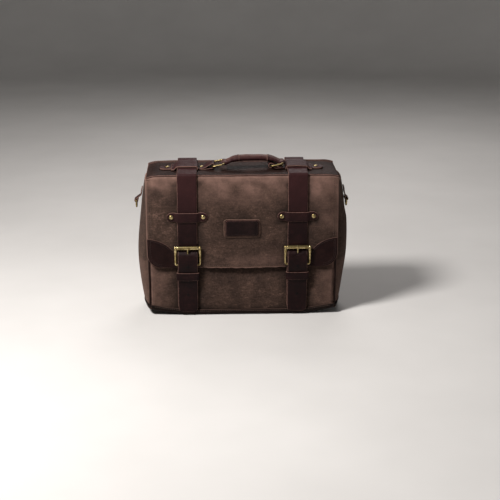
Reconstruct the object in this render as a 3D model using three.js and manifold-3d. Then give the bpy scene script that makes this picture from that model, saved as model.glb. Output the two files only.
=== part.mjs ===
// A suede saddle bag with leather straps and brass fittings, in millimetres.
// +Z is up and the front faces -Y. The origin is the middle of the bag's box, on the ground.
import * as THREE from "three";
import { mergeVertices } from "three/addons/utils/BufferGeometryUtils.js";
import Module from "manifold-3d";

const wasm = await Module();
wasm.setup();

// The bag's body
const TOP = 299; // top face of the lid
const FRONT = -62; // outer face of the flap
const BACK = 66; // outer face of the back panel
const PANEL = 4; // suede or leather with its lining
const GAP = 0.3; // between pieces that lie on each other
const FRONT_FACE = FRONT + PANEL + 0.6; // outer face of the front panel
const PANEL_HALF = 190; // half width of the front and back panels
const PANEL_FOOT = 4.6; // how far the panels start above the bottom leather's underside
const BACK_TOP = 293.6;
const FLAP_HALF = 195;
const FLAP_BOTTOM = 105;
const FLAP_CORNER = 30; // radius
const LIP = 11.5; // how far the bottom leather wraps up the front and back
const LIP_THICK = 3;
const FLAT_HALF = 80; // half length of the flat part of the bottom
const END_HALF = 204; // half length of the bottom at mid depth
const END_RISE = 15; // how far the bottom's ends curve up
const BULGE_HALF = 218; // half width at the fullest part of the gussets
const BULGE_Z = 150;
const BULGE_FALL = 14; // how much narrower the gussets are BULGE_REACH above or below
const BULGE_REACH = 140;
const BULGE_FULLNESS = 0.8; // 1 is a sine curve from front to back, and less is fuller
const GUSSET_THICK = 3.6;
const GUSSET_TOP = 278;
const FRONT_TOP = 284;
const BOARD_HALF = 184;
const BOARD = 2.4; // thickness of the base board
const BOARD_FOOT = 4.4;
const LINING_CLOTH = 1; // thickness
const LINING_MIDDLE = (FRONT_FACE + BACK) / 2; // halfway from the front to the back
const LINING_TOP = 276;
const PIPING = 2; // radius
const PIPING_FOOT = 24;
const LID_FRONT = FRONT + PANEL + 0.4; // front edge of the lid
const LID_PIVOT_Y = 63.5;
const EDGE_ROLL = 2.4; // radius of the lid's rolled back edge

// Straps
const STRAP_X = 112.5; // centre of each strap from the middle
const STRAP_HALF = 20;
const STRAP = 3.4; // thickness
const THIN = 2.8; // thickness of keepers and bridges
const STRAP_TIP_Z = 8;
const STRAP_BEND_Z = 296.5; // where the strap's front piece meets its top piece
const STRAP_TOP_Y = [-59.5, 60.5]; // ends of the strap's top piece
const STRAP_BACK_Z = [200, 291];
const STRAP_CLIMB_Y = [24, 34]; // where the strap climbs over the handle tab
const LOWER_STRIP_Z = [LIP + 3.2, 103];
const FLAP_KEEPER_Z = 213;
const FLAP_KEEPER_HALF_X = 41;
const FLAP_KEEPER_HALF_Z = 10;
const FLAP_KEEPER_TIP = 0.62; // height of its ends as a share of the middle's
const KEEPER_STEP = 4; // length of the slope down from the strap
const KEEPER_RIVET_X = 32.5;
const LOWER_KEEPER_Z = 87;
const LOWER_KEEPER_HALF = 8.3;
const LOWER_KEEPER_HALF_X = 23.5;
const RIVET_HEAD = 4.5; // radius
const RIVET_SHANK = 1.8; // radius
const RIVET_HOLE = 2.2; // radius

// Press studs behind the buckles
const STUD_BASE = 6; // radius
const STUD_BASE_HIGH = 0.7;
const STUD_NUB = 2.4; // radius
const STUD_NUB_HIGH = 1.6;
const SOCKET = 6.5; // radius
const SOCKET_HOLE = 3; // radius

// Buckles
const BUCKLE_HALF = 27.2; // half of the outer width
const TOP_BAR_Z = 148.5;
const TOP_BAR = 3.9; // radius
const HEEL_BAR_Z = 112;
const HEEL_BAR = 2.2; // radius
const BUCKLE_CORNER = 4; // radius
const EYE_CLEAR = 0.3;
const CHAPE = 2; // thickness of the leather that holds the buckle
const CHAPE_HALF = 17;
const CHAPE_END_Z = 72;
const CHAPE_SLOT = { halfX: 4.2, halfZ: 7 }; // where the prong comes through
const CHAPE_Y = FRONT - 1.4; // back face of the chape
const PRONG = 1.6; // half thickness
const PRONG_EYE_HALF = 3.4;
const PRONG_HOLE_Z = 137;
const PRONG_SLOT = { halfX: 2.6, below: 11, above: 6 }; // in the strap, about the hole

// Label and corner patches
const PATCH = 2;
const LABEL = { x: -1, z: 188, halfX: 37.5, halfZ: 19.3, corner: 5 };
const CORNER_PATCH = { width: 64, height: 61.5 };

// Handle
const HANDLE_PIVOT_X = 60;
const HANDLE_PIVOT_Z = TOP + 8;
const LINK = 24; // between the two leather-wrapped bars of a handle ring
const LINK_ANGLE = THREE.MathUtils.degToRad(12);
const RING_HALF_Y = 23;
const RING_WIRE = 2; // radius
const RING_CORNER = 5; // radius
const LOOP_OUTER = 5.5;
const LOOP_INNER = 2.6;
const LOOP_HALF_Y = 16;
const TAB = 3;
const TAB_END_X = 168;
const TAB_RIVETS_X = [153, 82.6];
const BRIDGE_HALF_Y = 26;
const BRIDGE_X = [90.6, 144];
const BRIDGE_CLEAR = 2; // between the strap's edge and the bridge's slope
const BRIDGE_STEP = 3; // length of the slope
const GRIP_RISE = 10.4; // of its middle above its eyes
const GRIP_LIFT = 1; // of its ends above its eyes
const GRIP_INSET = 4; // of its ends from its eyes
const GRIP_HALF_Y = 12;
const GRIP_HALF_Z = 6.8;
const GRIP_END_HALF_Z = 4.2;
const GRIP_TAPER = 0.25; // share of each half that tapers to the eye

// Side rings and rear loops
const SIDE_RING_Z = 234;
const SIDE_RING_HALF = 12;
const SIDE_RING_DROP = 3; // straight part of the ring's legs
const SIDE_RING_WIRE = 1.6; // radius
const SIDE_LOOP = 4.4;
const SIDE_LOOP_INNER = 2;
const SIDE_TAB = 2.6; // thickness
const SIDE_TAB_HALF = 9;
const SIDE_TAB_TOP = 262;
const REAR_LOOP_HALF = 22;
const REAR_LOOP_THICK = 3.3;
const REAR_LOOP_OUT = 77.9; // outer face
const REAR_LOOP_Z = 120;
const REAR_LOOP_REACH = [28, 40, 60]; // half heights where it stands off, lands and ends

const SUEDE = { color: 0x54433b, roughness: 0.95, metalness: 0 };
const BAND = { color: 0x45302c, roughness: 0.6, metalness: 0 };
const STRAP_LEATHER = { color: 0x35222a, roughness: 0.5, metalness: 0 };
const LINING = { color: 0x6b5d50, roughness: 1, metalness: 0 };
const BRASS = { color: 0xb29a5b, roughness: 0.35, metalness: 1 };

const bag = new THREE.Group();
const X = new THREE.Vector3(1, 0, 0);
const Y = new THREE.Vector3(0, 1, 0);
const Z = new THREE.Vector3(0, 0, 1);
const SIDES = { left: -1, right: 1 };

function add(name, geometry, finish) {
  const mesh = new THREE.Mesh(geometry, new THREE.MeshStandardMaterial(finish));
  mesh.name = name;
  bag.add(mesh);
}

// Builds a geometry from points and triangles, turned so that its faces point out.
function closed(points, triangles) {
  let volume = 0;
  for (const [a, b, c] of triangles) volume += points[a].dot(points[b].clone().cross(points[c]));
  const index = triangles.flatMap(([a, b, c]) => (volume < 0 ? [a, c, b] : [a, b, c]));
  const geometry = new THREE.BufferGeometry().setFromPoints(points);
  geometry.setIndex(index);
  return geometry;
}

function toSolid(geometry) {
  const bare = geometry.clone();
  bare.deleteAttribute("normal");
  bare.deleteAttribute("uv");
  const merged = mergeVertices(bare, 1e-4);
  const vertProperties = merged.attributes.position.array;
  const triVerts = new Uint32Array(merged.index.array);
  return new wasm.Manifold(new wasm.Mesh({ numProp: 3, vertProperties, triVerts }));
}

function toGeometry(solid) {
  const mesh = solid.getMesh();
  const geometry = new THREE.BufferGeometry();
  const positions = new Float32Array(mesh.numVert * 3);
  for (let i = 0; i < mesh.numVert; i += 1) {
    const start = i * mesh.numProp;
    positions.set(mesh.vertProperties.subarray(start, start + 3), i * 3);
  }
  geometry.setAttribute("position", new THREE.BufferAttribute(positions, 3));
  geometry.setIndex(new THREE.BufferAttribute(new Uint32Array(mesh.triVerts), 1));
  return geometry;
}

function join(first, ...others) {
  const start = toSolid(first);
  return toGeometry(others.reduce((solid, other) => solid.add(toSolid(other)), start));
}

function cut(first, ...tools) {
  const start = toSolid(first);
  return toGeometry(tools.reduce((solid, tool) => solid.subtract(toSolid(tool)), start));
}

function common(first, second) {
  return toGeometry(toSolid(first).intersect(toSolid(second)));
}

function box(x, y, z) {
  const geometry = new THREE.BoxGeometry(x[1] - x[0], y[1] - y[0], z[1] - z[0]);
  return geometry.translate((x[0] + x[1]) / 2, (y[0] + y[1]) / 2, (z[0] + z[1]) / 2);
}

// A round bar of one length about a centre, along one of the axes.
function bar(radius, length, axis, centre, sides = 12) {
  const geometry = new THREE.CylinderGeometry(radius, radius, length, sides);
  geometry.applyQuaternion(new THREE.Quaternion().setFromUnitVectors(Y, axis));
  return geometry.translate(...centre);
}

// An outline in X and Z, given depth along Y.
function slab(shape, yLow, yHigh, curveSegments = 6) {
  const geometry = new THREE.ExtrudeGeometry(shape, {
    depth: yHigh - yLow,
    bevelEnabled: false,
    curveSegments,
  });
  return geometry.rotateX(Math.PI / 2).translate(0, yHigh, 0);
}

// A solid between two surfaces over the same grid of u and v from 0 to 1.
function shell(columns, rows, outer, inner) {
  const points = [];
  const triangles = [];
  for (const surface of [outer, inner])
    for (let i = 0; i <= columns; i += 1)
      for (let j = 0; j <= rows; j += 1) points.push(surface(i / columns, j / rows));
  const stride = rows + 1;
  const layer = (columns + 1) * stride;
  const quad = (a, b, c, d) => triangles.push([a, b, c], [a, c, d]);
  const at = (i, j, side) => side * layer + i * stride + j;
  for (let i = 0; i < columns; i += 1) {
    for (let j = 0; j < rows; j += 1) {
      quad(at(i, j, 0), at(i + 1, j, 0), at(i + 1, j + 1, 0), at(i, j + 1, 0));
      quad(at(i, j, 1), at(i, j + 1, 1), at(i + 1, j + 1, 1), at(i + 1, j, 1));
    }
    quad(at(i, 0, 0), at(i, 0, 1), at(i + 1, 0, 1), at(i + 1, 0, 0));
    quad(at(i, rows, 0), at(i + 1, rows, 0), at(i + 1, rows, 1), at(i, rows, 1));
  }
  for (let j = 0; j < rows; j += 1) {
    quad(at(0, j, 0), at(0, j + 1, 0), at(0, j + 1, 1), at(0, j, 1));
    quad(at(columns, j, 0), at(columns, j, 1), at(columns, j + 1, 1), at(columns, j + 1, 0));
  }
  return closed(points, triangles);
}

// A flat band of even thickness that follows a path. Each station is [point, half width].
function ribbon(stations, side, thickness) {
  const points = [];
  const triangles = [];
  stations.forEach(([point, half], i) => {
    const before = stations[Math.max(i - 1, 0)][0];
    const after = stations[Math.min(i + 1, stations.length - 1)][0];
    const into = point.clone().sub(before).normalize();
    const out = after.clone().sub(point).normalize();
    const along = into.clone().add(out).normalize();
    const stretch = i > 0 && i < stations.length - 1 ? 1 / along.dot(out) : 1;
    const across = side.clone().cross(along).multiplyScalar((stretch * thickness) / 2);
    for (const [s, t] of [[-1, -1], [1, -1], [1, 1], [-1, 1]])
      points.push(point.clone().addScaledVector(side, s * half).addScaledVector(across, t));
  });
  const last = (stations.length - 1) * 4;
  for (let i = 0; i < last; i += 4)
    for (let k = 0; k < 4; k += 1) {
      const n = (k + 1) % 4;
      triangles.push([i + k, i + n, i + 4 + n], [i + k, i + 4 + n, i + 4 + k]);
    }
  triangles.push([0, 2, 1], [0, 3, 2]);
  triangles.push([last, last + 1, last + 2], [last, last + 2, last + 3]);
  return closed(points, triangles);
}

// A round wire that follows a closed flat path. The normal is the path plane's.
function wireLoop(path, normal, radius, sides = 8) {
  const points = [];
  const triangles = [];
  const count = path.length;
  path.forEach((point, i) => {
    const into = point.clone().sub(path[(i + count - 1) % count]).normalize();
    const out = path[(i + 1) % count].clone().sub(point).normalize();
    const along = into.clone().add(out).normalize();
    const across = normal.clone().cross(along).divideScalar(along.dot(out));
    for (let k = 0; k < sides; k += 1) {
      const angle = (2 * Math.PI * k) / sides;
      const place = point.clone().addScaledVector(across, radius * Math.cos(angle));
      points.push(place.addScaledVector(normal, radius * Math.sin(angle)));
    }
    for (let k = 0; k < sides; k += 1) {
      const next = (k + 1) % sides;
      const ahead = ((i + 1) % count) * sides;
      triangles.push([i * sides + k, i * sides + next, ahead + next]);
      triangles.push([i * sides + k, ahead + next, ahead + k]);
    }
  });
  return closed(points, triangles);
}

// The points of a rectangle with round corners, in two directions about a centre.
function roundRectangle(centre, first, second, halfFirst, halfSecond, corner, steps = 3) {
  const path = [];
  for (const [a, b, start] of [[1, 1, 0], [-1, 1, 1], [-1, -1, 2], [1, -1, 3]])
    for (let k = 0; k <= steps; k += 1) {
      const angle = ((start + k / steps) * Math.PI) / 2;
      const along = a * (halfFirst - corner) + corner * Math.cos(angle);
      const up = b * (halfSecond - corner) + corner * Math.sin(angle);
      path.push(centre.clone().addScaledVector(first, along).addScaledVector(second, up));
    }
  return path;
}

function ringOutline(outer, inner) {
  const shape = new THREE.Shape().absarc(0, 0, outer, 0, 2 * Math.PI);
  shape.holes.push(new THREE.Path().absarc(0, 0, inner, 0, 2 * Math.PI));
  return shape;
}

// A leather eye about a bar that runs along Y.
function eyeAlongY(x, z, outer, inner, half) {
  return slab(ringOutline(outer, inner), -half, half).translate(x, 0, z);
}

// A rivet through leather. Its head is on the side that direction points to.
function rivet(place, direction, through) {
  const profile = [
    [0, -through],
    [RIVET_SHANK, -through],
    [RIVET_SHANK, 0],
    [RIVET_HEAD, 0],
    [RIVET_HEAD, 0.7],
    [RIVET_HEAD * 0.7, 1.8],
    [0, 2.2],
  ].map(([r, h]) => new THREE.Vector2(r, h));
  const geometry = new THREE.LatheGeometry(profile, 12);
  geometry.applyQuaternion(new THREE.Quaternion().setFromUnitVectors(Y, direction));
  return geometry.translate(place.x, place.y, place.z);
}

// The height of the bottom leather's underside at a distance from the middle.
function rise(x) {
  const past = Math.max(Math.abs(x) - FLAT_HALF, 0) / (END_HALF - FLAT_HALF);
  return END_RISE * past ** 2;
}

// Half width of the bag at mid depth.
function bulgeHalf(z) {
  return BULGE_HALF - BULGE_FALL * ((z - BULGE_Z) / BULGE_REACH) ** 2;
}

// An outline whose bottom edge follows the bottom leather. The top is a height for each x.
function panelOutline(half, bottom, top) {
  const shape = new THREE.Shape();
  const steps = 16;
  const xs = Array.from({ length: steps + 1 }, (_, i) => half * ((2 * i) / steps - 1));
  xs.forEach((x, i) => shape[i ? "lineTo" : "moveTo"](x, rise(x) + bottom));
  xs.reverse().forEach((x) => shape.lineTo(x, top(x)));
  return shape;
}

// The outer face of a gusset, from front (u = 0) to back (u = 1), moved inwards by an inset.
function gussetPoint(sign, u, z, inset) {
  const front = FRONT_FACE + PANEL + GAP;
  const back = BACK - PANEL - GAP;
  const out = Math.sin(Math.PI * u) ** BULGE_FULLNESS;
  const x = PANEL_HALF + (bulgeHalf(z) - PANEL_HALF) * out - inset;
  return new THREE.Vector3(sign * x, front + (back - front) * u, z);
}

// A block inside the gussets and panels. The inset is its distance from the gussets' inner faces.
function insideBlock(zLow, zHigh, inset) {
  const levels = 12;
  const steps = 12;
  const points = [];
  const triangles = [];
  const count = 2 * (steps + 1);
  const squeeze = 1 - (2 * inset) / (BACK - FRONT_FACE - 2 * PANEL);
  for (let level = 0; level <= levels; level += 1) {
    const z = zLow + ((zHigh - zLow) * level) / levels;
    for (const sign of [1, -1])
      for (let k = 0; k <= steps; k += 1) {
        const u = sign > 0 ? k / steps : 1 - k / steps;
        const place = gussetPoint(sign, u, z, GUSSET_THICK + inset);
        place.y = (place.y - LINING_MIDDLE) * squeeze + LINING_MIDDLE;
        points.push(place);
      }
  }
  for (let level = 0; level < levels; level += 1)
    for (let k = 0; k < count; k += 1) {
      const start = level * count;
      const next = (k + 1) % count;
      triangles.push([start + k, start + next, start + count + next]);
      triangles.push([start + k, start + count + next, start + count + k]);
    }
  const last = levels * count;
  for (let k = 1; k < count - 1; k += 1)
    triangles.push([0, k + 1, k], [last, last + k, last + k + 1]);
  return closed(points, triangles);
}

function body() {
  const frontOutline = panelOutline(PANEL_HALF, PANEL_FOOT, () => FRONT_TOP);
  add("front_panel", slab(frontOutline, FRONT_FACE, FRONT_FACE + PANEL), SUEDE);
  const backOutline = panelOutline(PANEL_HALF, PANEL_FOOT, () => BACK_TOP);
  add("back_panel", slab(backOutline, BACK - PANEL, BACK), SUEDE);

  const lipFront = FRONT_FACE - GAP - LIP_THICK;
  const lipBack = BACK + GAP + LIP_THICK;
  const floorOutline = panelOutline(END_HALF, 0, (x) => rise(x) + PANEL);
  const lipOutline = panelOutline(PANEL_HALF, 0, (x) => rise(x) + LIP);
  const plan = new THREE.Shape();
  plan.moveTo(-PANEL_HALF, lipFront);
  plan.lineTo(PANEL_HALF, lipFront);
  plan.quadraticCurveTo(2 * END_HALF - PANEL_HALF, 0, PANEL_HALF, lipBack);
  plan.lineTo(-PANEL_HALF, lipBack);
  plan.quadraticCurveTo(PANEL_HALF - 2 * END_HALF, 0, -PANEL_HALF, lipFront);
  const planBlock = new THREE.ExtrudeGeometry(plan, {
    depth: END_RISE + 2 * PANEL,
    bevelEnabled: false,
    curveSegments: 8,
  }).translate(0, 0, -PANEL);
  const floor = common(slab(floorOutline, lipFront, lipBack), planBlock);
  const frontLip = slab(lipOutline, lipFront, lipFront + LIP_THICK);
  const backLip = slab(lipOutline, lipBack - LIP_THICK, lipBack);
  add("bottom_panel", join(floor, frontLip, backLip), BAND);

  const insideFront = FRONT_FACE + PANEL + GAP;
  const insideBack = BACK - PANEL - GAP;
  const boardOutline = panelOutline(BOARD_HALF, BOARD_FOOT, (x) => rise(x) + BOARD_FOOT + BOARD);
  add("base_board", slab(boardOutline, insideFront + 1, insideBack - 1), LINING);

  const liningFoot = BOARD_FOOT + BOARD + GAP;
  const outerLining = panelOutline(BULGE_HALF, liningFoot, () => LINING_TOP);
  const innerLining = panelOutline(BULGE_HALF, liningFoot + LINING_CLOTH, () => TOP);
  const lining = cut(
    common(slab(outerLining, FRONT, BACK), insideBlock(0, TOP, 2 * GAP)),
    common(slab(innerLining, FRONT, BACK), insideBlock(0, TOP, 2 * GAP + LINING_CLOTH)),
  );
  add("lining", lining, LINING);

  const gussetFoot = rise(END_HALF) + PANEL + 2 * GAP;
  for (const [side, sign] of Object.entries(SIDES)) {
    const surface = (inset) => (u, v) => {
      return gussetPoint(sign, u, gussetFoot + (GUSSET_TOP - gussetFoot) * v, inset);
    };
    add(`gusset_${side}`, shell(12, 10, surface(0), surface(GUSSET_THICK)), SUEDE);
    const pipe = bar(PIPING, FRONT_TOP - PIPING_FOOT, Z, [
      sign * (PANEL_HALF + GAP + PIPING),
      FRONT_FACE + PIPING - 0.2,
      (FRONT_TOP + PIPING_FOOT) / 2,
    ]);
    add(`front_piping_${side}`, pipe, BAND);
  }
}

// What is sewn to the body under and behind the straps.
function bodyTrim() {
  const stripBack = FRONT_FACE - GAP;
  for (const [side, sign] of Object.entries(SIDES)) {
    const x = sign * STRAP_X;
    const across = [x - STRAP_HALF, x + STRAP_HALF];
    const strip = box(across, [stripBack - LIP_THICK, stripBack], LOWER_STRIP_Z);
    const hole = bar(RIVET_HOLE, 10, Y, [x, stripBack, LOWER_KEEPER_Z]);
    add(`lower_strip_${side}`, cut(strip, hole), STRAP_LEATHER);
    const stud = new THREE.LatheGeometry([
      new THREE.Vector2(0, -LIP_THICK),
      new THREE.Vector2(RIVET_SHANK, -LIP_THICK),
      new THREE.Vector2(RIVET_SHANK, 0),
      new THREE.Vector2(STUD_BASE, 0),
      new THREE.Vector2(STUD_BASE, STUD_BASE_HIGH),
      new THREE.Vector2(STUD_NUB, STUD_BASE_HIGH),
      new THREE.Vector2(STUD_NUB, STUD_NUB_HIGH),
      new THREE.Vector2(0, STUD_NUB_HIGH),
    ], 12);
    stud.rotateX(Math.PI).translate(x, stripBack - LIP_THICK - GAP, LOWER_KEEPER_Z);
    add(`snap_post_${side}`, stud, BRASS);

    const strapBack = box(across, [BACK + GAP, BACK + GAP + STRAP], STRAP_BACK_Z);
    add(`strap_back_${side}`, strapBack, STRAP_LEATHER);

    const near = BACK + GAP + REAR_LOOP_THICK / 2;
    const far = REAR_LOOP_OUT - REAR_LOOP_THICK / 2;
    const [away, landed, end] = REAR_LOOP_REACH;
    const rearStations = [
      [near, -end],
      [near, -landed],
      [far, -away],
      [far, away],
      [near, landed],
      [near, end],
    ].map(([y, dz]) => [new THREE.Vector3(x, y, REAR_LOOP_Z + dz), REAR_LOOP_HALF]);
    add(`rear_loop_${side}`, ribbon(rearStations, X, REAR_LOOP_THICK), STRAP_LEATHER);

    const loopX = sign * (bulgeHalf(SIDE_RING_Z) + GAP + SIDE_LOOP);
    const tabFoot = SIDE_RING_Z + 1;
    const tabStations = [0, 1, 2, 3].map((k) => {
      const z = SIDE_TAB_TOP + ((tabFoot - SIDE_TAB_TOP) * k) / 3;
      const out = bulgeHalf(z) + GAP + SIDE_TAB / 2;
      return [new THREE.Vector3(sign * out, 0, z), SIDE_TAB_HALF];
    });
    const eye = eyeAlongY(loopX, SIDE_RING_Z, SIDE_LOOP, SIDE_LOOP_INNER, SIDE_TAB_HALF);
    const bore = bar(SIDE_LOOP_INNER, 60, Y, [loopX, 0, SIDE_RING_Z]);
    const tab = join(cut(ribbon(tabStations, Y, SIDE_TAB), bore), eye);
    add(`side_tab_${side}`, tab, STRAP_LEATHER);

    const ringPath = [
      new THREE.Vector3(loopX, -SIDE_RING_HALF, SIDE_RING_Z),
      new THREE.Vector3(loopX, SIDE_RING_HALF, SIDE_RING_Z),
    ];
    const arcSteps = 8;
    for (let k = 0; k <= arcSteps; k += 1) {
      const angle = (Math.PI * k) / arcSteps;
      const y = SIDE_RING_HALF * Math.cos(angle);
      const z = SIDE_RING_Z - SIDE_RING_DROP - SIDE_RING_HALF * Math.sin(angle);
      ringPath.push(new THREE.Vector3(loopX, y, z));
    }
    add(`side_ring_${side}`, wireLoop(ringPath, X, SIDE_RING_WIRE), BRASS);
  }
}

function lid() {
  const plate = box([-FLAP_HALF, FLAP_HALF], [LID_FRONT, LID_PIVOT_Y], [TOP - PANEL, TOP]);
  const roll = bar(EDGE_ROLL, 2 * FLAP_HALF, X, [0, LID_PIVOT_Y, TOP - PANEL / 2], 14);
  const holes = [];
  for (const [side, sign] of Object.entries(SIDES)) {
    const tabTop = TOP + GAP + TAB;
    const tabPlate = new THREE.Shape();
    tabPlate.moveTo(HANDLE_PIVOT_X, -LOOP_HALF_Y);
    tabPlate.lineTo(TAB_END_X - LOOP_HALF_Y, -LOOP_HALF_Y);
    tabPlate.absarc(TAB_END_X - LOOP_HALF_Y, 0, LOOP_HALF_Y, -Math.PI / 2, Math.PI / 2);
    tabPlate.lineTo(HANDLE_PIVOT_X, LOOP_HALF_Y);
    const flat = new THREE.ExtrudeGeometry(tabPlate, {
      depth: TAB,
      bevelEnabled: false,
      curveSegments: 8,
    }).translate(0, 0, TOP + GAP);
    if (sign < 0) flat.rotateZ(Math.PI);
    const pivotX = sign * HANDLE_PIVOT_X;
    const eye = eyeAlongY(pivotX, HANDLE_PIVOT_Z, LOOP_OUTER, LOOP_INNER, LOOP_HALF_Y);
    const bore = bar(LOOP_INNER, 60, Y, [pivotX, 0, HANDLE_PIVOT_Z]);
    const tabHoles = TAB_RIVETS_X.map((x) => bar(RIVET_HOLE, 20, Z, [sign * x, 0, TOP]));
    add(`handle_tab_${side}`, cut(join(flat, eye), bore, ...tabHoles), STRAP_LEATHER);
    holes.push(...tabHoles);
    TAB_RIVETS_X.forEach((x, i) => {
      const place = new THREE.Vector3(sign * x, 0, tabTop + GAP);
      const name = `tab_rivet_${side}_${i ? "inner" : "outer"}`;
      add(name, rivet(place, Z, TAB + PANEL), BRASS);
    });

    const low = TOP + GAP + STRAP / 2;
    const high = tabTop + GAP + STRAP / 2;
    const [onTab, offTab] = STRAP_CLIMB_Y;
    const strapStations = [
      [STRAP_TOP_Y[0], low],
      [-offTab, low],
      [-onTab, high],
      [onTab, high],
      [offTab, low],
      [STRAP_TOP_Y[1], low],
    ].map(([y, z]) => [new THREE.Vector3(sign * STRAP_X, y, z), STRAP_HALF]);
    add(`strap_top_${side}`, ribbon(strapStations, X, STRAP), STRAP_LEATHER);

    const over = high + STRAP / 2 + GAP + THIN / 2;
    const foot = tabTop + GAP + THIN / 2;
    const slope = STRAP_X + STRAP_HALF + BRIDGE_CLEAR;
    const bridgeStations = [
      [BRIDGE_X[0], foot - THIN / 2],
      [BRIDGE_X[0], over],
      [slope, over],
      [slope + BRIDGE_STEP, foot],
      [BRIDGE_X[1], foot],
    ].map(([x, z]) => [new THREE.Vector3(sign * x, 0, z), BRIDGE_HALF_Y]);
    add(`strap_bridge_${side}`, ribbon(bridgeStations, Y, THIN), STRAP_LEATHER);
  }
  add("lid_panel", cut(join(plate, roll), ...holes), BAND);
}

function handle() {
  const along = new THREE.Vector3(Math.cos(LINK_ANGLE), 0, Math.sin(LINK_ANGLE));
  const normal = along.clone().cross(Y).normalize();
  for (const [side, sign] of Object.entries(SIDES)) {
    const pivot = new THREE.Vector3(sign * HANDLE_PIVOT_X, 0, HANDLE_PIVOT_Z);
    const centre = pivot.addScaledVector(along, LINK / 2);
    const path = roundRectangle(centre, along, Y, LINK / 2, RING_HALF_Y, RING_CORNER);
    add(`handle_ring_${side}`, wireLoop(path, normal, RING_WIRE), BRASS);
  }
  const eyeX = LINK * Math.cos(LINK_ANGLE);
  const eyeZ = HANDLE_PIVOT_Z + LINK * Math.sin(LINK_ANGLE);
  const ends = [-HANDLE_PIVOT_X + eyeX, HANDLE_PIVOT_X + eyeX];
  const steps = 20;
  const sides = 12;
  const points = [];
  const triangles = [];
  for (let i = 0; i <= steps; i += 1) {
    const t = i / steps;
    const reach = Math.abs(2 * t - 1);
    const x = ends[0] + GRIP_INSET + (ends[1] - ends[0] - 2 * GRIP_INSET) * t;
    const z = eyeZ + GRIP_LIFT + (GRIP_RISE - GRIP_LIFT) * (1 - reach ** 3);
    const taper = Math.max(reach - 1 + GRIP_TAPER, 0) / GRIP_TAPER;
    const halfY = GRIP_HALF_Y + (LOOP_HALF_Y - GRIP_HALF_Y) * taper;
    const halfZ = GRIP_HALF_Z + (GRIP_END_HALF_Z - GRIP_HALF_Z) * taper;
    for (let k = 0; k < sides; k += 1) {
      const angle = (2 * Math.PI * k) / sides;
      points.push(new THREE.Vector3(x, halfY * Math.cos(angle), z + halfZ * Math.sin(angle)));
      if (i < steps) {
        const next = (k + 1) % sides;
        triangles.push([i * sides + k, (i + 1) * sides + k, (i + 1) * sides + next]);
        triangles.push([i * sides + k, (i + 1) * sides + next, i * sides + next]);
      }
    }
  }
  const last = steps * sides;
  for (let k = 1; k < sides - 1; k += 1) {
    triangles.push([0, k, k + 1], [last, last + k + 1, last + k]);
  }
  const eyes = ends.map((x) => eyeAlongY(x, eyeZ, LOOP_OUTER, LOOP_INNER, LOOP_HALF_Y));
  const bores = ends.map((x) => bar(LOOP_INNER, 60, Y, [x, 0, eyeZ]));
  add("handle_grip", cut(join(closed(points, triangles), ...eyes), ...bores), STRAP_LEATHER);
}

function flapOutline() {
  const shape = new THREE.Shape();
  shape.moveTo(-FLAP_HALF, TOP - PANEL / 2);
  shape.lineTo(-FLAP_HALF, FLAP_BOTTOM + FLAP_CORNER);
  const cornerX = FLAP_HALF - FLAP_CORNER;
  const cornerZ = FLAP_BOTTOM + FLAP_CORNER;
  shape.absarc(-cornerX, cornerZ, FLAP_CORNER, Math.PI, 1.5 * Math.PI);
  shape.absarc(cornerX, cornerZ, FLAP_CORNER, 1.5 * Math.PI, 2 * Math.PI);
  shape.lineTo(FLAP_HALF, TOP - PANEL / 2);
  return shape;
}

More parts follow.
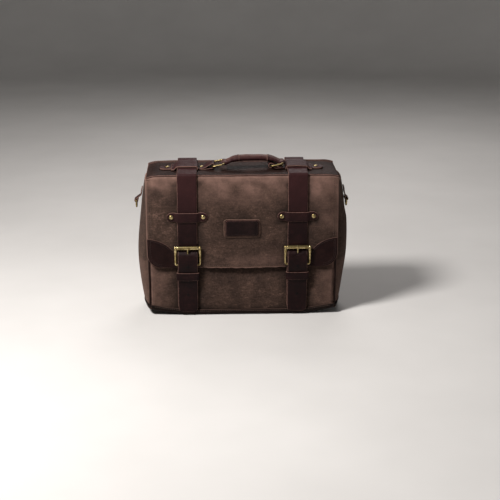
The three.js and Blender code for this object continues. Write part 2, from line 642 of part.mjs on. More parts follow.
function flap() {
  const face = FRONT - GAP; // what lies on the flap starts here
  const holes = [];
  for (const [side, sign] of Object.entries(SIDES)) {
    const x = sign * STRAP_X;
    const keeperHoles = [-1, 1].map((n) => {
      const place = [x + n * KEEPER_RIVET_X, FRONT, FLAP_KEEPER_Z];
      return bar(RIVET_HOLE, 30, Y, place);
    });
    holes.push(...keeperHoles);

    const end = face - THIN / 2;
    const over = face - STRAP - GAP - THIN / 2;
    const clear = STRAP_HALF + 1.5;
    const keeperPath = [
      [-FLAP_KEEPER_HALF_X, end, FLAP_KEEPER_TIP],
      [-FLAP_KEEPER_HALF_X + KEEPER_STEP, end, 1],
      [-clear - KEEPER_STEP, end, 1],
      [-clear, over, 1],
      [clear, over, 1],
      [clear + KEEPER_STEP, end, 1],
      [FLAP_KEEPER_HALF_X - KEEPER_STEP, end, 1],
      [FLAP_KEEPER_HALF_X, end, FLAP_KEEPER_TIP],
    ].map(([dx, y, share]) => {
      return [new THREE.Vector3(x + dx, y, FLAP_KEEPER_Z), share * FLAP_KEEPER_HALF_Z];
    });
    add(`flap_keeper_${side}`, cut(ribbon(keeperPath, Z, THIN), ...keeperHoles), STRAP_LEATHER);
    for (const n of [-1, 1]) {
      const y = face - THIN - GAP;
      const place = new THREE.Vector3(x + n * KEEPER_RIVET_X, y, FLAP_KEEPER_Z);
      const name = `keeper_rivet_${side}_${n * sign > 0 ? "outer" : "inner"}`;
      add(name, rivet(place, Y.clone().negate(), THIN + PANEL), BRASS);
    }

    const ellipse = new THREE.Shape();
    ellipse.absellipse(
      sign * FLAP_HALF, FLAP_BOTTOM, CORNER_PATCH.width, CORNER_PATCH.height, 0, 2 * Math.PI,
    );
    const patch = common(
      slab(ellipse, face - PATCH, face, 20),
      slab(flapOutline(), face - PATCH - 1, face + 1, 8),
    );
    add(`corner_patch_${side}`, patch, BAND);
  }
  add("flap_panel", cut(slab(flapOutline(), FRONT, FRONT + PANEL, 8), ...holes), SUEDE);

  const { x, z, halfX, halfZ, corner } = LABEL;
  const label = new THREE.Shape();
  label.absarc(x + halfX - corner, z + halfZ - corner, corner, 0, 0.5 * Math.PI);
  label.absarc(x - halfX + corner, z + halfZ - corner, corner, 0.5 * Math.PI, Math.PI);
  label.absarc(x - halfX + corner, z - halfZ + corner, corner, Math.PI, 1.5 * Math.PI);
  label.absarc(x + halfX - corner, z - halfZ + corner, corner, 1.5 * Math.PI, 2 * Math.PI);
  add("label_patch", slab(label, face - PATCH, face, 4), STRAP_LEATHER);
}

// The strap down the front, with its buckle, prong, chape and lower keeper.
function buckles() {
  const onFlap = FRONT - GAP - STRAP / 2;
  const topBarY = FRONT - GAP - STRAP - GAP - TOP_BAR - 0.2;
  const eyeOuter = HEEL_BAR + EYE_CLEAR + CHAPE;
  const heelY = CHAPE_Y - eyeOuter;
  const overHeel = heelY - eyeOuter - GAP - STRAP / 2;
  const onChape = CHAPE_Y - CHAPE - GAP - STRAP / 2;
  const onStrip = FRONT_FACE - LIP_THICK - 2 * GAP - STRAP / 2 - 0.1;
  const strapPath = [
    [onFlap, STRAP_BEND_Z, 1],
    [onFlap, TOP_BAR_Z + 4, 1],
    [onFlap - 0.2, TOP_BAR_Z - 2.5, 1],
    [onFlap - 3.5, TOP_BAR_Z - 8, 1],
    [overHeel + 2.2, PRONG_HOLE_Z - 2.5, 1],
    [overHeel, HEEL_BAR_Z + 13, 1],
    [overHeel, HEEL_BAR_Z - 3, 1],
    [onChape, HEEL_BAR_Z - 15, 1],
    [onChape, CHAPE_END_Z - 1.5, 1],
    [onStrip, CHAPE_END_Z - 15, 1],
    [onStrip, STRAP_TIP_Z + 9, 1],
    [onStrip, STRAP_TIP_Z + 4, 0.9],
    [onStrip, STRAP_TIP_Z + 1, 0.68],
    [onStrip, STRAP_TIP_Z, 0.45],
  ];
  const prongPath = [
    [heelY - 2, HEEL_BAR_Z + 3],
    [heelY - 2.4, HEEL_BAR_Z + 19],
    [topBarY - 4.9, TOP_BAR_Z - 5.5],
    [topBarY - 6.2, TOP_BAR_Z + 0.5],
    [topBarY - 6.2, TOP_BAR_Z + 4.5],
  ];
  for (const [side, sign] of Object.entries(SIDES)) {
    const x = sign * STRAP_X;
    const strapStations = strapPath.map(([y, z, share]) => {
      return [new THREE.Vector3(x, y, z), STRAP_HALF * share];
    });
    const slot = box(
      [x - PRONG_SLOT.halfX, x + PRONG_SLOT.halfX],
      [2 * FRONT, FRONT],
      [PRONG_HOLE_Z - PRONG_SLOT.below, PRONG_HOLE_Z + PRONG_SLOT.above],
    );
    add(`strap_front_${side}`, cut(ribbon(strapStations, X, STRAP), slot), STRAP_LEATHER);

    const top = new THREE.Vector3(x, topBarY, TOP_BAR_Z);
    const heel = new THREE.Vector3(x, heelY, HEEL_BAR_Z);
    const up = top.clone().sub(heel);
    const centre = heel.clone().addScaledVector(up, 0.5);
    const half = up.length() / 2;
    const framePath = roundRectangle(
      centre, X, up.clone().normalize(), BUCKLE_HALF - HEEL_BAR, half, BUCKLE_CORNER,
    );
    const normal = X.clone().cross(up).normalize();
    const frame = wireLoop(framePath, normal, HEEL_BAR);
    const roller = bar(TOP_BAR, 2 * (BUCKLE_HALF - BUCKLE_CORNER), X, top.toArray());
    add(`buckle_frame_${side}`, join(frame, roller), BRASS);

    const prongStations = prongPath.map(([y, z]) => [new THREE.Vector3(x, y, z), PRONG]);
    const shank = ribbon(prongStations, X, 2 * PRONG);
    const prongEye = slab(
      ringOutline(eyeOuter - 0.2, HEEL_BAR + EYE_CLEAR), -PRONG_EYE_HALF, PRONG_EYE_HALF,
    );
    prongEye.rotateZ(Math.PI / 2).translate(x, heelY, HEEL_BAR_Z);
    const heelBore = bar(HEEL_BAR + EYE_CLEAR, 20, X, heel.toArray());
    add(`buckle_prong_${side}`, cut(join(prongEye, shank), heelBore), BRASS);

    const chapeEye = slab(ringOutline(eyeOuter, HEEL_BAR + EYE_CLEAR), -CHAPE_HALF, CHAPE_HALF);
    chapeEye.rotateZ(Math.PI / 2).translate(x, heelY, HEEL_BAR_Z);
    const acrossChape = [x - CHAPE_HALF, x + CHAPE_HALF];
    const leg = box(acrossChape, [CHAPE_Y - CHAPE, CHAPE_Y], [CHAPE_END_Z, HEEL_BAR_Z]);
    const prongSlot = box(
      [x - CHAPE_SLOT.halfX, x + CHAPE_SLOT.halfX],
      [2 * FRONT, FRONT],
      [HEEL_BAR_Z - CHAPE_SLOT.halfZ, HEEL_BAR_Z + CHAPE_SLOT.halfZ],
    );
    const socketHole = bar(RIVET_HOLE, 10, Y, [x, CHAPE_Y, LOWER_KEEPER_Z]);
    add(`buckle_chape_${side}`, cut(join(leg, chapeEye), heelBore, prongSlot, socketHole), BAND);

    const socket = slab(ringOutline(SOCKET, SOCKET_HOLE), CHAPE_Y + GAP, CHAPE_Y + GAP + 1);
    add(`snap_socket_${side}`, socket.translate(x, 0, LOWER_KEEPER_Z), BRASS);

    const inX = STRAP_HALF + 0.6;
    const frontY = onChape - STRAP / 2 - GAP;
    const footY = CHAPE_Y - 0.2;
    const keeper = new THREE.Shape();
    keeper.moveTo(CHAPE_HALF + GAP, footY);
    keeper.lineTo(LOWER_KEEPER_HALF_X, footY);
    keeper.lineTo(LOWER_KEEPER_HALF_X, frontY - THIN + 1);
    keeper.lineTo(LOWER_KEEPER_HALF_X - 1, frontY - THIN);
    keeper.lineTo(1 - LOWER_KEEPER_HALF_X, frontY - THIN);
    keeper.lineTo(-LOWER_KEEPER_HALF_X, frontY - THIN + 1);
    keeper.lineTo(-LOWER_KEEPER_HALF_X, footY);
    keeper.lineTo(-CHAPE_HALF - GAP, footY);
    keeper.lineTo(-CHAPE_HALF - GAP, footY - CHAPE + 0.3);
    keeper.lineTo(-inX, footY - CHAPE + 0.3);
    keeper.lineTo(-inX, frontY);
    keeper.lineTo(inX, frontY);
    keeper.lineTo(inX, footY - CHAPE + 0.3);
    keeper.lineTo(CHAPE_HALF + GAP, footY - CHAPE + 0.3);
    const loop = new THREE.ExtrudeGeometry(keeper, {
      depth: 2 * LOWER_KEEPER_HALF,
      bevelEnabled: false,
    });
    loop.translate(x, 0, LOWER_KEEPER_Z - LOWER_KEEPER_HALF);
    add(`lower_keeper_${side}`, loop, STRAP_LEATHER);
  }
}

body();
bodyTrim();
lid();
handle();
flap();
buckles();

export default bag;
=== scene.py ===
import math

import bmesh
import bpy
import numpy as np
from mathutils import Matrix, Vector


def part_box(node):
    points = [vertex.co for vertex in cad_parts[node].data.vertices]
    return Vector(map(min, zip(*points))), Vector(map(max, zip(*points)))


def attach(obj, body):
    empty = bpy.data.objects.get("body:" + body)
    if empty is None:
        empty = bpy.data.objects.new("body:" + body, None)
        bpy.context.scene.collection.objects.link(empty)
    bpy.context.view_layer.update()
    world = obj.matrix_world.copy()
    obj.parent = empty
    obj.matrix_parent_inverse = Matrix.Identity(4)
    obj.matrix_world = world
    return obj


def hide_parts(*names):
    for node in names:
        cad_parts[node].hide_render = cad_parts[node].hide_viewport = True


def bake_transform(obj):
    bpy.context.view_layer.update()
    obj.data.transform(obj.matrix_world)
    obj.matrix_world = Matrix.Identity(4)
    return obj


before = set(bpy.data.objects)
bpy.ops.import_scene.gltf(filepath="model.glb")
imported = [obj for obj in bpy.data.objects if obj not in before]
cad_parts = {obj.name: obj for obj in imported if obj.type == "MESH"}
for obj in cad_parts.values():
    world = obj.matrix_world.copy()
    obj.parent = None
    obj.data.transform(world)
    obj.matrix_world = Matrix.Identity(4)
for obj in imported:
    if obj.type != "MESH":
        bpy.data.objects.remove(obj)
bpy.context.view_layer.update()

MM = 0.001
RANDOM = np.random.default_rng(11)
X, Y, Z = np.eye(3)
SIDES = {"left": -1, "right": 1}
TURN = 2 * math.pi
QUARTER = math.pi / 2


def node_box(name):
    """Lowest and highest corner of a CAD node, in millimetres."""
    low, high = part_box(name)
    return np.array(low) / MM, np.array(high) / MM


# ---- sizes in millimetres, from the frame where it has them ----
flap_low, flap_high = node_box("flap_panel")
panel_low, panel_high = node_box("front_panel")
bottom_low, bottom_high = node_box("bottom_panel")
strap_low, strap_high = node_box("strap_front_right")
bridge_low, bridge_high = node_box("strap_bridge_right")
label_low, label_high = node_box("label_patch")
patch_low, patch_high = node_box("corner_patch_right")
strip_low, strip_high = node_box("lower_strip_right")
piping_low, piping_high = node_box("front_piping_right")

FRONT = flap_low[1]
FLAP_HALF = flap_high[0]
FLAP_BOTTOM = flap_low[2]
FLAP_CORNER = 30.0
FRONT_FACE = panel_low[1]
PANEL_HALF = panel_high[0]
PANEL_FOOT = panel_low[2]
FRONT_TOP = panel_high[2]
# The suede's back rim stays clear of the lid's rolled edge.
_, BACK, BACK_RIM = node_box("back_panel")[1] - [0, 0, 2.1]
MIDDLE_Y = (FRONT_FACE + BACK) / 2
BULGE_HALF = node_box("gusset_right")[1][0]
END_HALF = 204.0
END_FULL = 14.0
FLAT_HALF = 80.0
END_RISE = 15.0
WALL = 3.4
LIP = 11.5
TOP = flap_high[2] + 2
STRAP_X = (strap_low[0] + strap_high[0]) / 2
STRAP_HALF = (strap_high[0] - strap_low[0]) / 2
STRAP = 3.4
TIP_Z = strap_low[2]
KEEPER_Z = sum(node_box("flap_keeper_right"))[2] / 2
LOWER_KEEPER_Z = sum(node_box("lower_keeper_right"))[2] / 2
HEEL = np.array([0, -67.9, 112.0])
TOP_BAR = np.array([0, -70.1, 148.5])
PIVOT = np.array([60.0, 0, TOP + 8])
LINK = 24.0
LINK_ANGLE = math.radians(12)
RING_X, RING_Z = 217.66, 234.0


# ---- number helpers ----
def step(value, low=0.0, high=1.0):
    """0 below low, 1 above high and smooth between them."""
    t = np.clip((np.asarray(value, float) - low) / (high - low), 0, 1)
    return t * t * (3 - 2 * t)


def hill(value, at, width, power=2):
    """1 at one value, falling to 0 on both sides of it."""
    return np.exp(-(np.abs((value - at) / width) ** power))


def past(value, limit):
    """How far a value is past a limit, or 0."""
    return np.clip(value - limit, 0, None)


def ripple(a, b, size, seed):
    """A smooth uneven wave over two coordinates, about -1 to 1. size is its usual wavelength."""
    rng = np.random.default_rng(seed)
    total = 0
    for _ in range(7):
        turn, phase = rng.uniform(0, TURN, 2)
        k = TURN / (size * rng.uniform(0.7, 1.6))
        total = total + np.sin(k * (a * math.cos(turn) + b * math.sin(turn)) + phase)
    return total / 3.6


def unit(v):
    v = np.asarray(v, float)
    return v / np.maximum(np.linalg.norm(v, axis=-1, keepdims=True), 1e-9)


def coords(*columns):
    """Points from their coordinates. A single number counts for every point."""
    return np.stack(np.broadcast_arrays(*columns), -1)


def soften(points, times=3):
    """Cuts a path's corners. The ends stay."""
    p = np.asarray(points, float)
    for _ in range(times):
        a, b = p[:-1] * 0.75 + p[1:] * 0.25, p[:-1] * 0.25 + p[1:] * 0.75
        p = np.concatenate([p[:1], np.stack([a, b], 1).reshape(-1, p.shape[1]), p[-1:]])
    return p


def run_of(path):
    """How far along a path each of its points is."""
    return np.concatenate([[0], np.cumsum(np.linalg.norm(np.diff(path, axis=0), axis=1))])


def at_runs(at, run, values):
    """A path's values at some distances along it."""
    return np.stack([np.interp(at, run, column) for column in values.T], 1)


def spaced(points, gap, closed=False):
    """Points about a gap apart along a path."""
    p = np.asarray(points, float)
    if closed:
        p = np.concatenate([p, p[:1]])
    run = run_of(p)
    count = max(int(round(run[-1] / gap)), 2)
    at = np.linspace(0, run[-1], count + 1)[: count if closed else None]
    return at_runs(at, run, p)


def smooth(points, gap, times=3):
    """A path with its corners cut, as points about a gap apart."""
    return spaced(soften(points, times), gap)


def circle(count):
    return np.linspace(0, TURN, count, endpoint=False)


def arc(first, last, count, radius=1.0, centre=(0, 0)):
    """Points of a circle between two angles in degrees."""
    angle = np.radians(np.linspace(first, last, count))
    return coords(centre[0] + radius * np.cos(angle), centre[1] + radius * np.sin(angle))


def rise(x):
    """How far the bag's bottom curves up at a distance from its middle."""
    return END_RISE * (np.maximum(np.abs(x) - FLAT_HALF, 0) / (END_HALF - FLAT_HALF)) ** 2


def across_x(x, path):
    """A path of (y, z) points in the plane at x."""
    return coords(x, *np.transpose(path))


def along_x(side, path):
    """A path of (x, z) points in the middle of the bag's depth, on one side."""
    x, z = np.transpose(path)
    return coords(side * x, 0.0, z)


# ---- mesh helpers: a shape is (points, faces, {attribute: values}) ----
def grid_faces(rows, columns, closed_rows=False, closed_columns=False):
    i = np.arange(rows if closed_rows else rows - 1)
    j = np.arange(columns if closed_columns else columns - 1)
    i, j = np.meshgrid(i, j, indexing="ij")
    n, m = (i + 1) % rows, (j + 1) % columns
    corners = [i * columns + j, n * columns + j, n * columns + m, i * columns + m]
    return np.stack(corners, -1).reshape(-1, 4)


def grid(points, closed_rows=False, closed_columns=False, **values):
    points = np.asarray(points, float)
    rows, columns = points.shape[:2]
    faces = grid_faces(rows, columns, closed_rows, closed_columns).tolist()
    flat = {k: np.broadcast_to(v, (rows, columns)).reshape(-1) for k, v in values.items()}
    return points.reshape(-1, 3), faces, flat


def closed_ends(points, **values):
    """A grid that is a tube, with a face over its first and last ring."""
    count, ring = points.shape[:2]
    pts, faces, flat = grid(points, False, True, **values)
    return pts, faces + [list(range(ring)), list(range((count - 1) * ring, count * ring))], flat


def spread(value, share):
    """One value, or values evenly along a path, at each share of its length."""
    value = np.atleast_1d(np.asarray(value, float))
    return np.interp(share, np.linspace(0, 1, len(value)), value)[:, None]


def band(path, side, half, thick, wide=14, dome=0.0, corner=1.1, reach=4.0):
    """A leather band along a path, with rounded edges. side is the direction across it."""
    inset, narrower = 0.6, 0.4
    path = np.asarray(path, float)
    first, last = unit(path[1] - path[0]) * inset, unit(path[-1] - path[-2]) * inset
    path = np.concatenate([path[:1], path[:1] + first, path[1:-1], path[-1:] - last, path[-1:]])
    count = len(path)
    run = run_of(path)
    half, thick = spread(half, run / run[-1]), spread(thick, run / run[-1])
    half[[0, -1]] -= narrower
    thick[[0, -1]] *= 0.5
    along = unit(np.gradient(path, run, axis=0))
    side = unit(np.broadcast_to(side, path.shape))
    up = unit(np.cross(side, along))
    r = np.minimum(corner, thick / 2)
    turns = np.radians([65, 40, 15, -15, -40, -65])
    s = np.linspace(-1, 1, wide + 1)
    out = r * np.cos(turns)
    turned = (thick / 2 - r) * np.sign(turns) + r * np.sin(turns)
    flat = half - r
    across = np.concatenate([flat * s, flat + out, -flat * s, -flat - out[:, ::-1]], 1)
    high = np.concatenate([thick / 2 + dome * (1 - s * s), turned, -thick / 2 + 0 * s, turned[:, ::-1]], 1)
    points = path[:, None] + side[:, None] * across[..., None] + up[:, None] * high[..., None]
    near = np.minimum(half - np.abs(across), np.minimum(run, run[-1] - run)[:, None])
    pts, faces, values = grid(points, False, True, edge=np.clip(1 - near / reach, 0, 1))
    ring = points.shape[1]
    for start in (0, (count - 1) * ring):
        low = start + wide + 1 + len(turns)
        for k in range(wide):
            faces.append([start + k, start + k + 1, low + wide - k - 1, low + wide - k])
        faces.append(list(range(start + wide, low + 1)))
        faces.append([*range(low + wide, start + ring), start])
    return pts, faces, values


def tube(path, radius, sides=16, closed=False, normal=None):
    """A round rod along a path. Open ends are rounded."""
    path = np.asarray(path, float)
    radius = np.broadcast_to(np.asarray(radius, float), (len(path),))
    if closed:
        along = unit(np.roll(path, -1, 0) - np.roll(path, 1, 0))
    else:
        reach, shrink = np.array([0, 0.29, 0.62, 1]), np.array([0.25, 0.71, 0.92, 1])
        head = path[0] + np.outer(reach, unit(path[1] - path[0]) * radius[0])
        tail = path[-1] - np.outer(reach, unit(path[-1] - path[-2]) * radius[-1])
        path = np.concatenate([head, path[1:-1], tail[::-1]])
        radius = np.concatenate([radius[0] * shrink, radius[1:-1], radius[-1] * shrink[::-1]])
        along = unit(np.gradient(path, axis=0))
    if normal is None:
        lift = [X if abs(along[0] @ X) < 0.8 else Z]
        for ahead in along:
            lift.append(unit(lift[-1] - (lift[-1] @ ahead) * ahead))
        lift = np.array(lift[1:])
    else:
        lift = np.broadcast_to(unit(normal), path.shape)
    across = unit(np.cross(lift, along))
    lift = unit(np.cross(along, across))
    angle = circle(sides)[None, :, None]
    ring = across[:, None] * np.cos(angle) + lift[:, None] * np.sin(angle)
    points = path[:, None] + ring * radius[:, None, None]
    return grid(points, True, True) if closed else closed_ends(points)


def lathe(profile, base, axis, segments=24):
    """A turned shape. profile is (radius, height) pairs, and the first and last radius are 0."""
    axis = unit(axis)
    a = unit(np.cross(X if abs(axis @ X) < 0.8 else Z, axis))
    b = np.cross(axis, a)
    angle = circle(segments)[:, None]
    ring = np.cos(angle) * a + np.sin(angle) * b
    rows = [np.asarray(base) + axis * h + ring * r for r, h in profile]
    return grid(np.stack(rows), False, True)


def plate(outline, spine, place, thick, rings=6, corner=0.9, reach=4.0, dome=0.0):
    """A flat leather piece cut to an outline. place(x, z, height) puts it on its surface."""
    gap = np.maximum(np.linalg.norm(spine - outline, axis=1), 1e-6)
    r = min(corner, thick / 2)
    inner = [((r + (gap - r) * k / rings) / gap, k / rings) for k in range(1, rings + 1)]
    turns = [(r * (1 - math.sin(a)) / gap, r - r * math.cos(a)) for a in np.radians([0, 30, 60, 90])]
    layers = [(t, 0.0) for t, _ in inner[::-1]] + turns
    layers += [(t, thick - high) for t, high in turns[::-1]]
    layers += [(t, thick + dome * math.sin(share * QUARTER)) for t, share in inner]
    points, edges = [], []
    for t, high in layers:
        flat = outline + (spine - outline) * t[:, None]
        points.append(place(flat[:, 0], flat[:, 1], high))
        edges.append(np.clip(1 - t * gap / reach, 0, 1))
    return grid(np.stack(points), False, True, edge=np.stack(edges))


def stitches(path, normal, pitch=4.4, length=3.2, radius=0.36, lift=0.12, bow=0.28):
    """A row of thread stitches along a path. normal points out of the leather."""
    path = np.asarray(path, float)
    run = run_of(path)
    count = max(int(run[-1] / pitch), 1)
    at = (np.arange(count) + 0.5) * run[-1] / count
    centre = at_runs(at, run, path)
    out = unit(at_runs(at, run, np.broadcast_to(np.asarray(normal, float), path.shape)))
    ahead = at_runs(np.minimum(at + 0.5, run[-1]), run, path)
    along = unit(ahead - at_runs(np.maximum(at - 0.5, 0), run, path))
    along = unit(along - (along * out).sum(1, keepdims=True) * out)
    slant = RANDOM.uniform(0.02, 0.14, count)[:, None]
    along = unit(along + np.cross(out, along) * slant)
    side = np.cross(out, along)
    reach = np.array([-1, -0.86, -0.45, 0, 0.45, 0.86, 1])[:, None]
    fat = radius * np.array([0.3, 0.75, 1, 1, 1, 0.75, 0.3])[:, None]
    wide = fat * np.cos(circle(6))
    high = lift + bow * (1 - reach**2) + fat * np.sin(circle(6))
    shape = coords(reach * length / 2, high, wide)
    points = centre[:, None, None] + np.einsum("ijk,nkl->nijl", shape, np.stack([along, out, side], 1))
    one = closed_ends(shape)[1]
    faces = [[i + k * wide.size for i in face] for k in range(count) for face in one]
    return points.reshape(-1, 3), faces, {}


def build(name, parts, materials, body, stands_for=(), chooser=None):
    """Makes one piece of (points, faces, values) parts. A body that is a tuple only has the piece's transform
    baked into its points.

    chooser gives each face's material."""
    points, faces = [], []
    marks = {"edge": [], "wear": [], "grime": []}
    for pts, fcs, values in parts:
        start = sum(len(p) for p in points)
        points.append(pts)
        faces += [[i + start for i in f] for f in fcs]
        for key, rows in marks.items():
            rows.append(np.broadcast_to(values.get(key, 0.0), len(pts)))
    points = np.concatenate(points) * MM
    mesh = bpy.data.meshes.new(name)
    mesh.from_pydata(points.tolist(), [], faces)
    for key, rows in marks.items():
        attribute = mesh.attributes.new(key, "FLOAT", "POINT")
        attribute.data.foreach_set("value", np.concatenate(rows).astype(np.float32))
    rest = mesh.attributes.new("rest", "FLOAT_VECTOR", "POINT")
    rest.data.foreach_set("vector", points.astype(np.float32).ravel())
    for material in materials if isinstance(materials, list) else [materials]:
        mesh.materials.append(material)
    if chooser is not None:
        for polygon in mesh.polygons:
            polygon.material_index = int(chooser(np.array(polygon.center) / MM))
    bm = bmesh.new()
    bm.from_mesh(mesh)
    bmesh.ops.remove_doubles(bm, verts=bm.verts, dist=2e-6)
    bmesh.ops.dissolve_degenerate(bm, edges=bm.edges, dist=1e-6)
    bmesh.ops.recalc_face_normals(bm, faces=bm.faces)
    for face in bm.faces:
        face.smooth = True
    bm.to_mesh(mesh)
    bm.free()
    mesh.update()
    piece = bpy.data.objects.new(name, mesh)
    bpy.context.scene.collection.objects.link(piece)
    if isinstance(body, tuple):
        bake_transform(piece)
    else:
        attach(piece, body)
    if stands_for:
        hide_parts(*stands_for)
    return piece


# ---- materials ----
def linear(rgb):
    c = np.asarray(rgb, float) / 255
    return [*np.where(c <= 0.04045, c / 12.92, ((c + 0.055) / 1.055) ** 2.4), 1.0]


class Look:
    """A material's node tree, with short calls for the nodes used here."""

    def __init__(self, name, place="rest"):
        self.material = bpy.data.materials.new(name)
        self.material.use_nodes = True
        self.tree = self.material.node_tree
        self.tree.nodes.clear()
        self.shader = self.tree.nodes.new("ShaderNodeBsdfPrincipled")
        output = self.tree.nodes.new("ShaderNodeOutputMaterial")
        self.tree.links.new(self.shader.outputs[0], output.inputs[0])
        if place == "rest":
            self.place = self.attribute("rest", "Vector")
        else:
            self.place = self.tree.nodes.new("ShaderNodeTexCoord").outputs["Object"]

    def feed(self, socket, value):
        if isinstance(value, bpy.types.NodeSocket):
            self.tree.links.new(value, socket)
        else:
            socket.default_value = value

    def node(self, kind, out=0, **inputs):
        n = self.tree.nodes.new(kind)
        for key, value in inputs.items():
            self.feed(n.inputs[key], value)
        return n.outputs[out]

    def noise(self, scale, detail=3.0, rough=0.55, warp=0.0, stretch=None):
        place = self.place
        if stretch is not None:
            place = self.node("ShaderNodeMapping", Vector=place, Scale=stretch)
        return self.node("ShaderNodeTexNoise", Vector=place, Scale=scale,
                         Detail=detail, Roughness=rough, Distortion=warp)

    def attribute(self, name, out="Fac"):
        n = self.tree.nodes.new("ShaderNodeAttribute")
        n.attribute_name = name
        return n.outputs[out]

    def maths(self, operation, a, b=0.0, clamp=False):
        n = self.tree.nodes.new("ShaderNodeMath")
        n.operation, n.use_clamp = operation, clamp
        self.feed(n.inputs[0], a)
        self.feed(n.inputs[1], b)
        return n.outputs[0]

    def times(self, a, b, clamp=False):
        return self.maths("MULTIPLY", a, b, clamp)

    def blend(self, *pairs):
        """The sum of (value, weight) pairs."""
        total = self.times(*pairs[0])
        for pair in pairs[1:]:
            total = self.maths("ADD", total, self.times(*pair))
        return total

    def span(self, value, low, high, out_low=0.0, out_high=1.0):
        n = self.tree.nodes.new("ShaderNodeMapRange")
        n.interpolation_type = "SMOOTHSTEP"
        for k, v in enumerate((value, low, high, out_low, out_high)):
            self.feed(n.inputs[k], v)
        return n.outputs[0]

    def ramp(self, value, *stops):
        n = self.tree.nodes.new("ShaderNodeValToRGB")
        while len(n.color_ramp.elements) < len(stops):
            n.color_ramp.elements.new(0.5)
        for element, (at, rgb) in zip(n.color_ramp.elements, stops):
            element.position, element.color = at, linear(rgb)
        self.feed(n.inputs[0], value)
        return n.outputs[0]

    def mix(self, share, a, b):
        """Colour a with a share of the (red, green, blue) colour b over it."""
        n = self.tree.nodes.new("ShaderNodeMix")
        n.data_type = "RGBA"
        self.feed(n.inputs[0], share)
        self.feed(n.inputs[6], a)
        self.feed(n.inputs[7], linear(b))
        return n.outputs[2]

    def bump(self, height, strength, distance, normal=None):
        n = self.tree.nodes.new("ShaderNodeBump")
        n.inputs["Strength"].default_value = strength
        n.inputs["Distance"].default_value = distance
        self.feed(n.inputs["Height"], height)
        if normal is not None:
            self.feed(n.inputs["Normal"], normal)
        return n.outputs[0]

    def finish(self, **inputs):
        for key, value in inputs.items():
            self.feed(self.shader.inputs[key.replace("_", " ")], value)
        return self.material


def suede(name, dark, mid, light, worn):
    """Brushed split leather: mottled, matt and slightly furry."""
    k = Look(name)
    cloud, patches = k.noise(13, 9.0, 0.60, 0.5), k.noise(52, 6.0, 0.62, 0.3)
    grain, brushed = k.noise(330, 3.0, 0.68), k.noise(240, 3.0, 0.62, 0.5, (0.42, 1.0, 1.15))
    total = k.blend((cloud, 0.40), (patches, 0.16), (grain, 0.26), (brushed, 0.24))
    colour = k.ramp(total, (0.42, dark), (0.51, mid), (0.60, light), (0.70, worn))
    spots = k.span(k.noise(420, 2.0, 0.7), 0.60, 0.74)
    colour = k.mix(k.times(spots, 0.30), colour, worn)
    # Mixes in the worn colour where the attribute marks wear, and as a painted highlight on the flap's fold
    # and upper part.
    wear = k.times(k.attribute("wear"), k.span(patches, 0.34, 0.62, 0.60, 1.0))
    colour = k.mix(k.times(wear, 0.80, True), colour, worn)
    colour = k.mix(k.times(k.span(k.attribute("edge"), 0.55, 1.0), 0.45), colour, worn)
    # Painted shade: darkens the suede where the attribute marks shade beside the straps, keepers and label,
    # and low on the bag.
    shaded = k.times(k.attribute("grime"), k.span(patches, 0.30, 0.66, 1.0, 0.55))
    colour = k.mix(k.times(shaded, 0.72, True), colour, [c * 0.62 for c in dark])
    nap = k.bump(k.noise(1500, 3.0, 0.75), 0.55, 0.0007)
    nap = k.bump(k.noise(300, 4.0, 0.70), 0.50, 0.0012, nap)
    return k.finish(Base_Color=colour, Roughness=k.span(patches, 0.3, 0.7, 0.84, 0.98), Normal=nap,
                    Specular_IOR_Level=0.10, Sheen_Weight=0.10, Sheen_Roughness=0.5,
                    Sheen_Tint=linear((196, 168, 156)))


def leather(name, dark, mid, light, rim, rough=(0.50, 0.68), gloss=0.10, crease=True, top_highlight=0.0):
    """Vegetable-tanned leather with a fine grain, worn light at its cut edges, with a painted highlight that
    lightens it towards the top of the bag.
    """
    k = Look(name)
    pull = k.noise(140, 3.0, 0.6, 0.6)
    colour = k.ramp(k.blend((k.noise(38, 4.0, 0.6, 0.5), 0.6), (pull, 0.4)),
                    (0.34, dark), (0.50, mid), (0.68, light))
    scuffs = k.span(k.noise(95, 5.0, 0.7, 1.2, (1.0, 1.0, 0.35)), 0.60, 0.72)
    colour = k.mix(k.times(scuffs, 0.35), colour, light)
    # Mixes in the rim colour where the attribute marks wear, and as a painted highlight on the grip's top and
    # the lid's rolled edge.
    worn = k.times(k.attribute("wear"), k.span(pull, 0.28, 0.66, 0.25, 1.0))
    colour = k.mix(k.times(worn, 0.7, True), colour, rim)
    # Painted highlight: lighter towards the top of the bag, in a pinkish colour.
    high_up = k.span(k.node("ShaderNodeSeparateXYZ", 2, Vector=k.place), 0.16, 0.285)
    colour = k.mix(k.times(high_up, top_highlight), colour, (126, 76, 78))
    edge = k.attribute("edge")
    uneven = k.maths("ADD", k.noise(420, 2.0), k.times(k.noise(70, 3.0), 0.9))
    jitter = k.maths("ADD", edge, k.times(k.maths("SUBTRACT", uneven, 0.95), 0.40))
    cut = k.span(jitter, 0.70, 0.98)
    colour = k.mix(k.times(cut, 0.92), colour, rim)
    pores = k.node("ShaderNodeTexVoronoi", Vector=k.place, Scale=1250)
    height = k.maths("ADD", k.times(pores, -0.5), k.noise(2200, 2.0, 0.6))
    if crease:
        off_line = k.maths("ABSOLUTE", k.maths("SUBTRACT", edge, 0.40))
        line = k.maths("SUBTRACT", 1.0, k.span(off_line, 0.0, 0.13))
        colour = k.mix(k.times(line, 0.5), colour, dark)
        height = k.maths("SUBTRACT", height, k.times(line, 2.2))
    grain = k.bump(height, 0.30, 0.00035)
    grain = k.bump(k.noise(170, 4.0, 0.6), 0.22, 0.0014, grain)
    finish = k.maths("ADD", k.span(pull, 0.3, 0.7, *rough), k.times(cut, 0.15), True)
    return k.finish(Base_Color=colour, Roughness=finish, Normal=grain, Specular_IOR_Level=gloss)


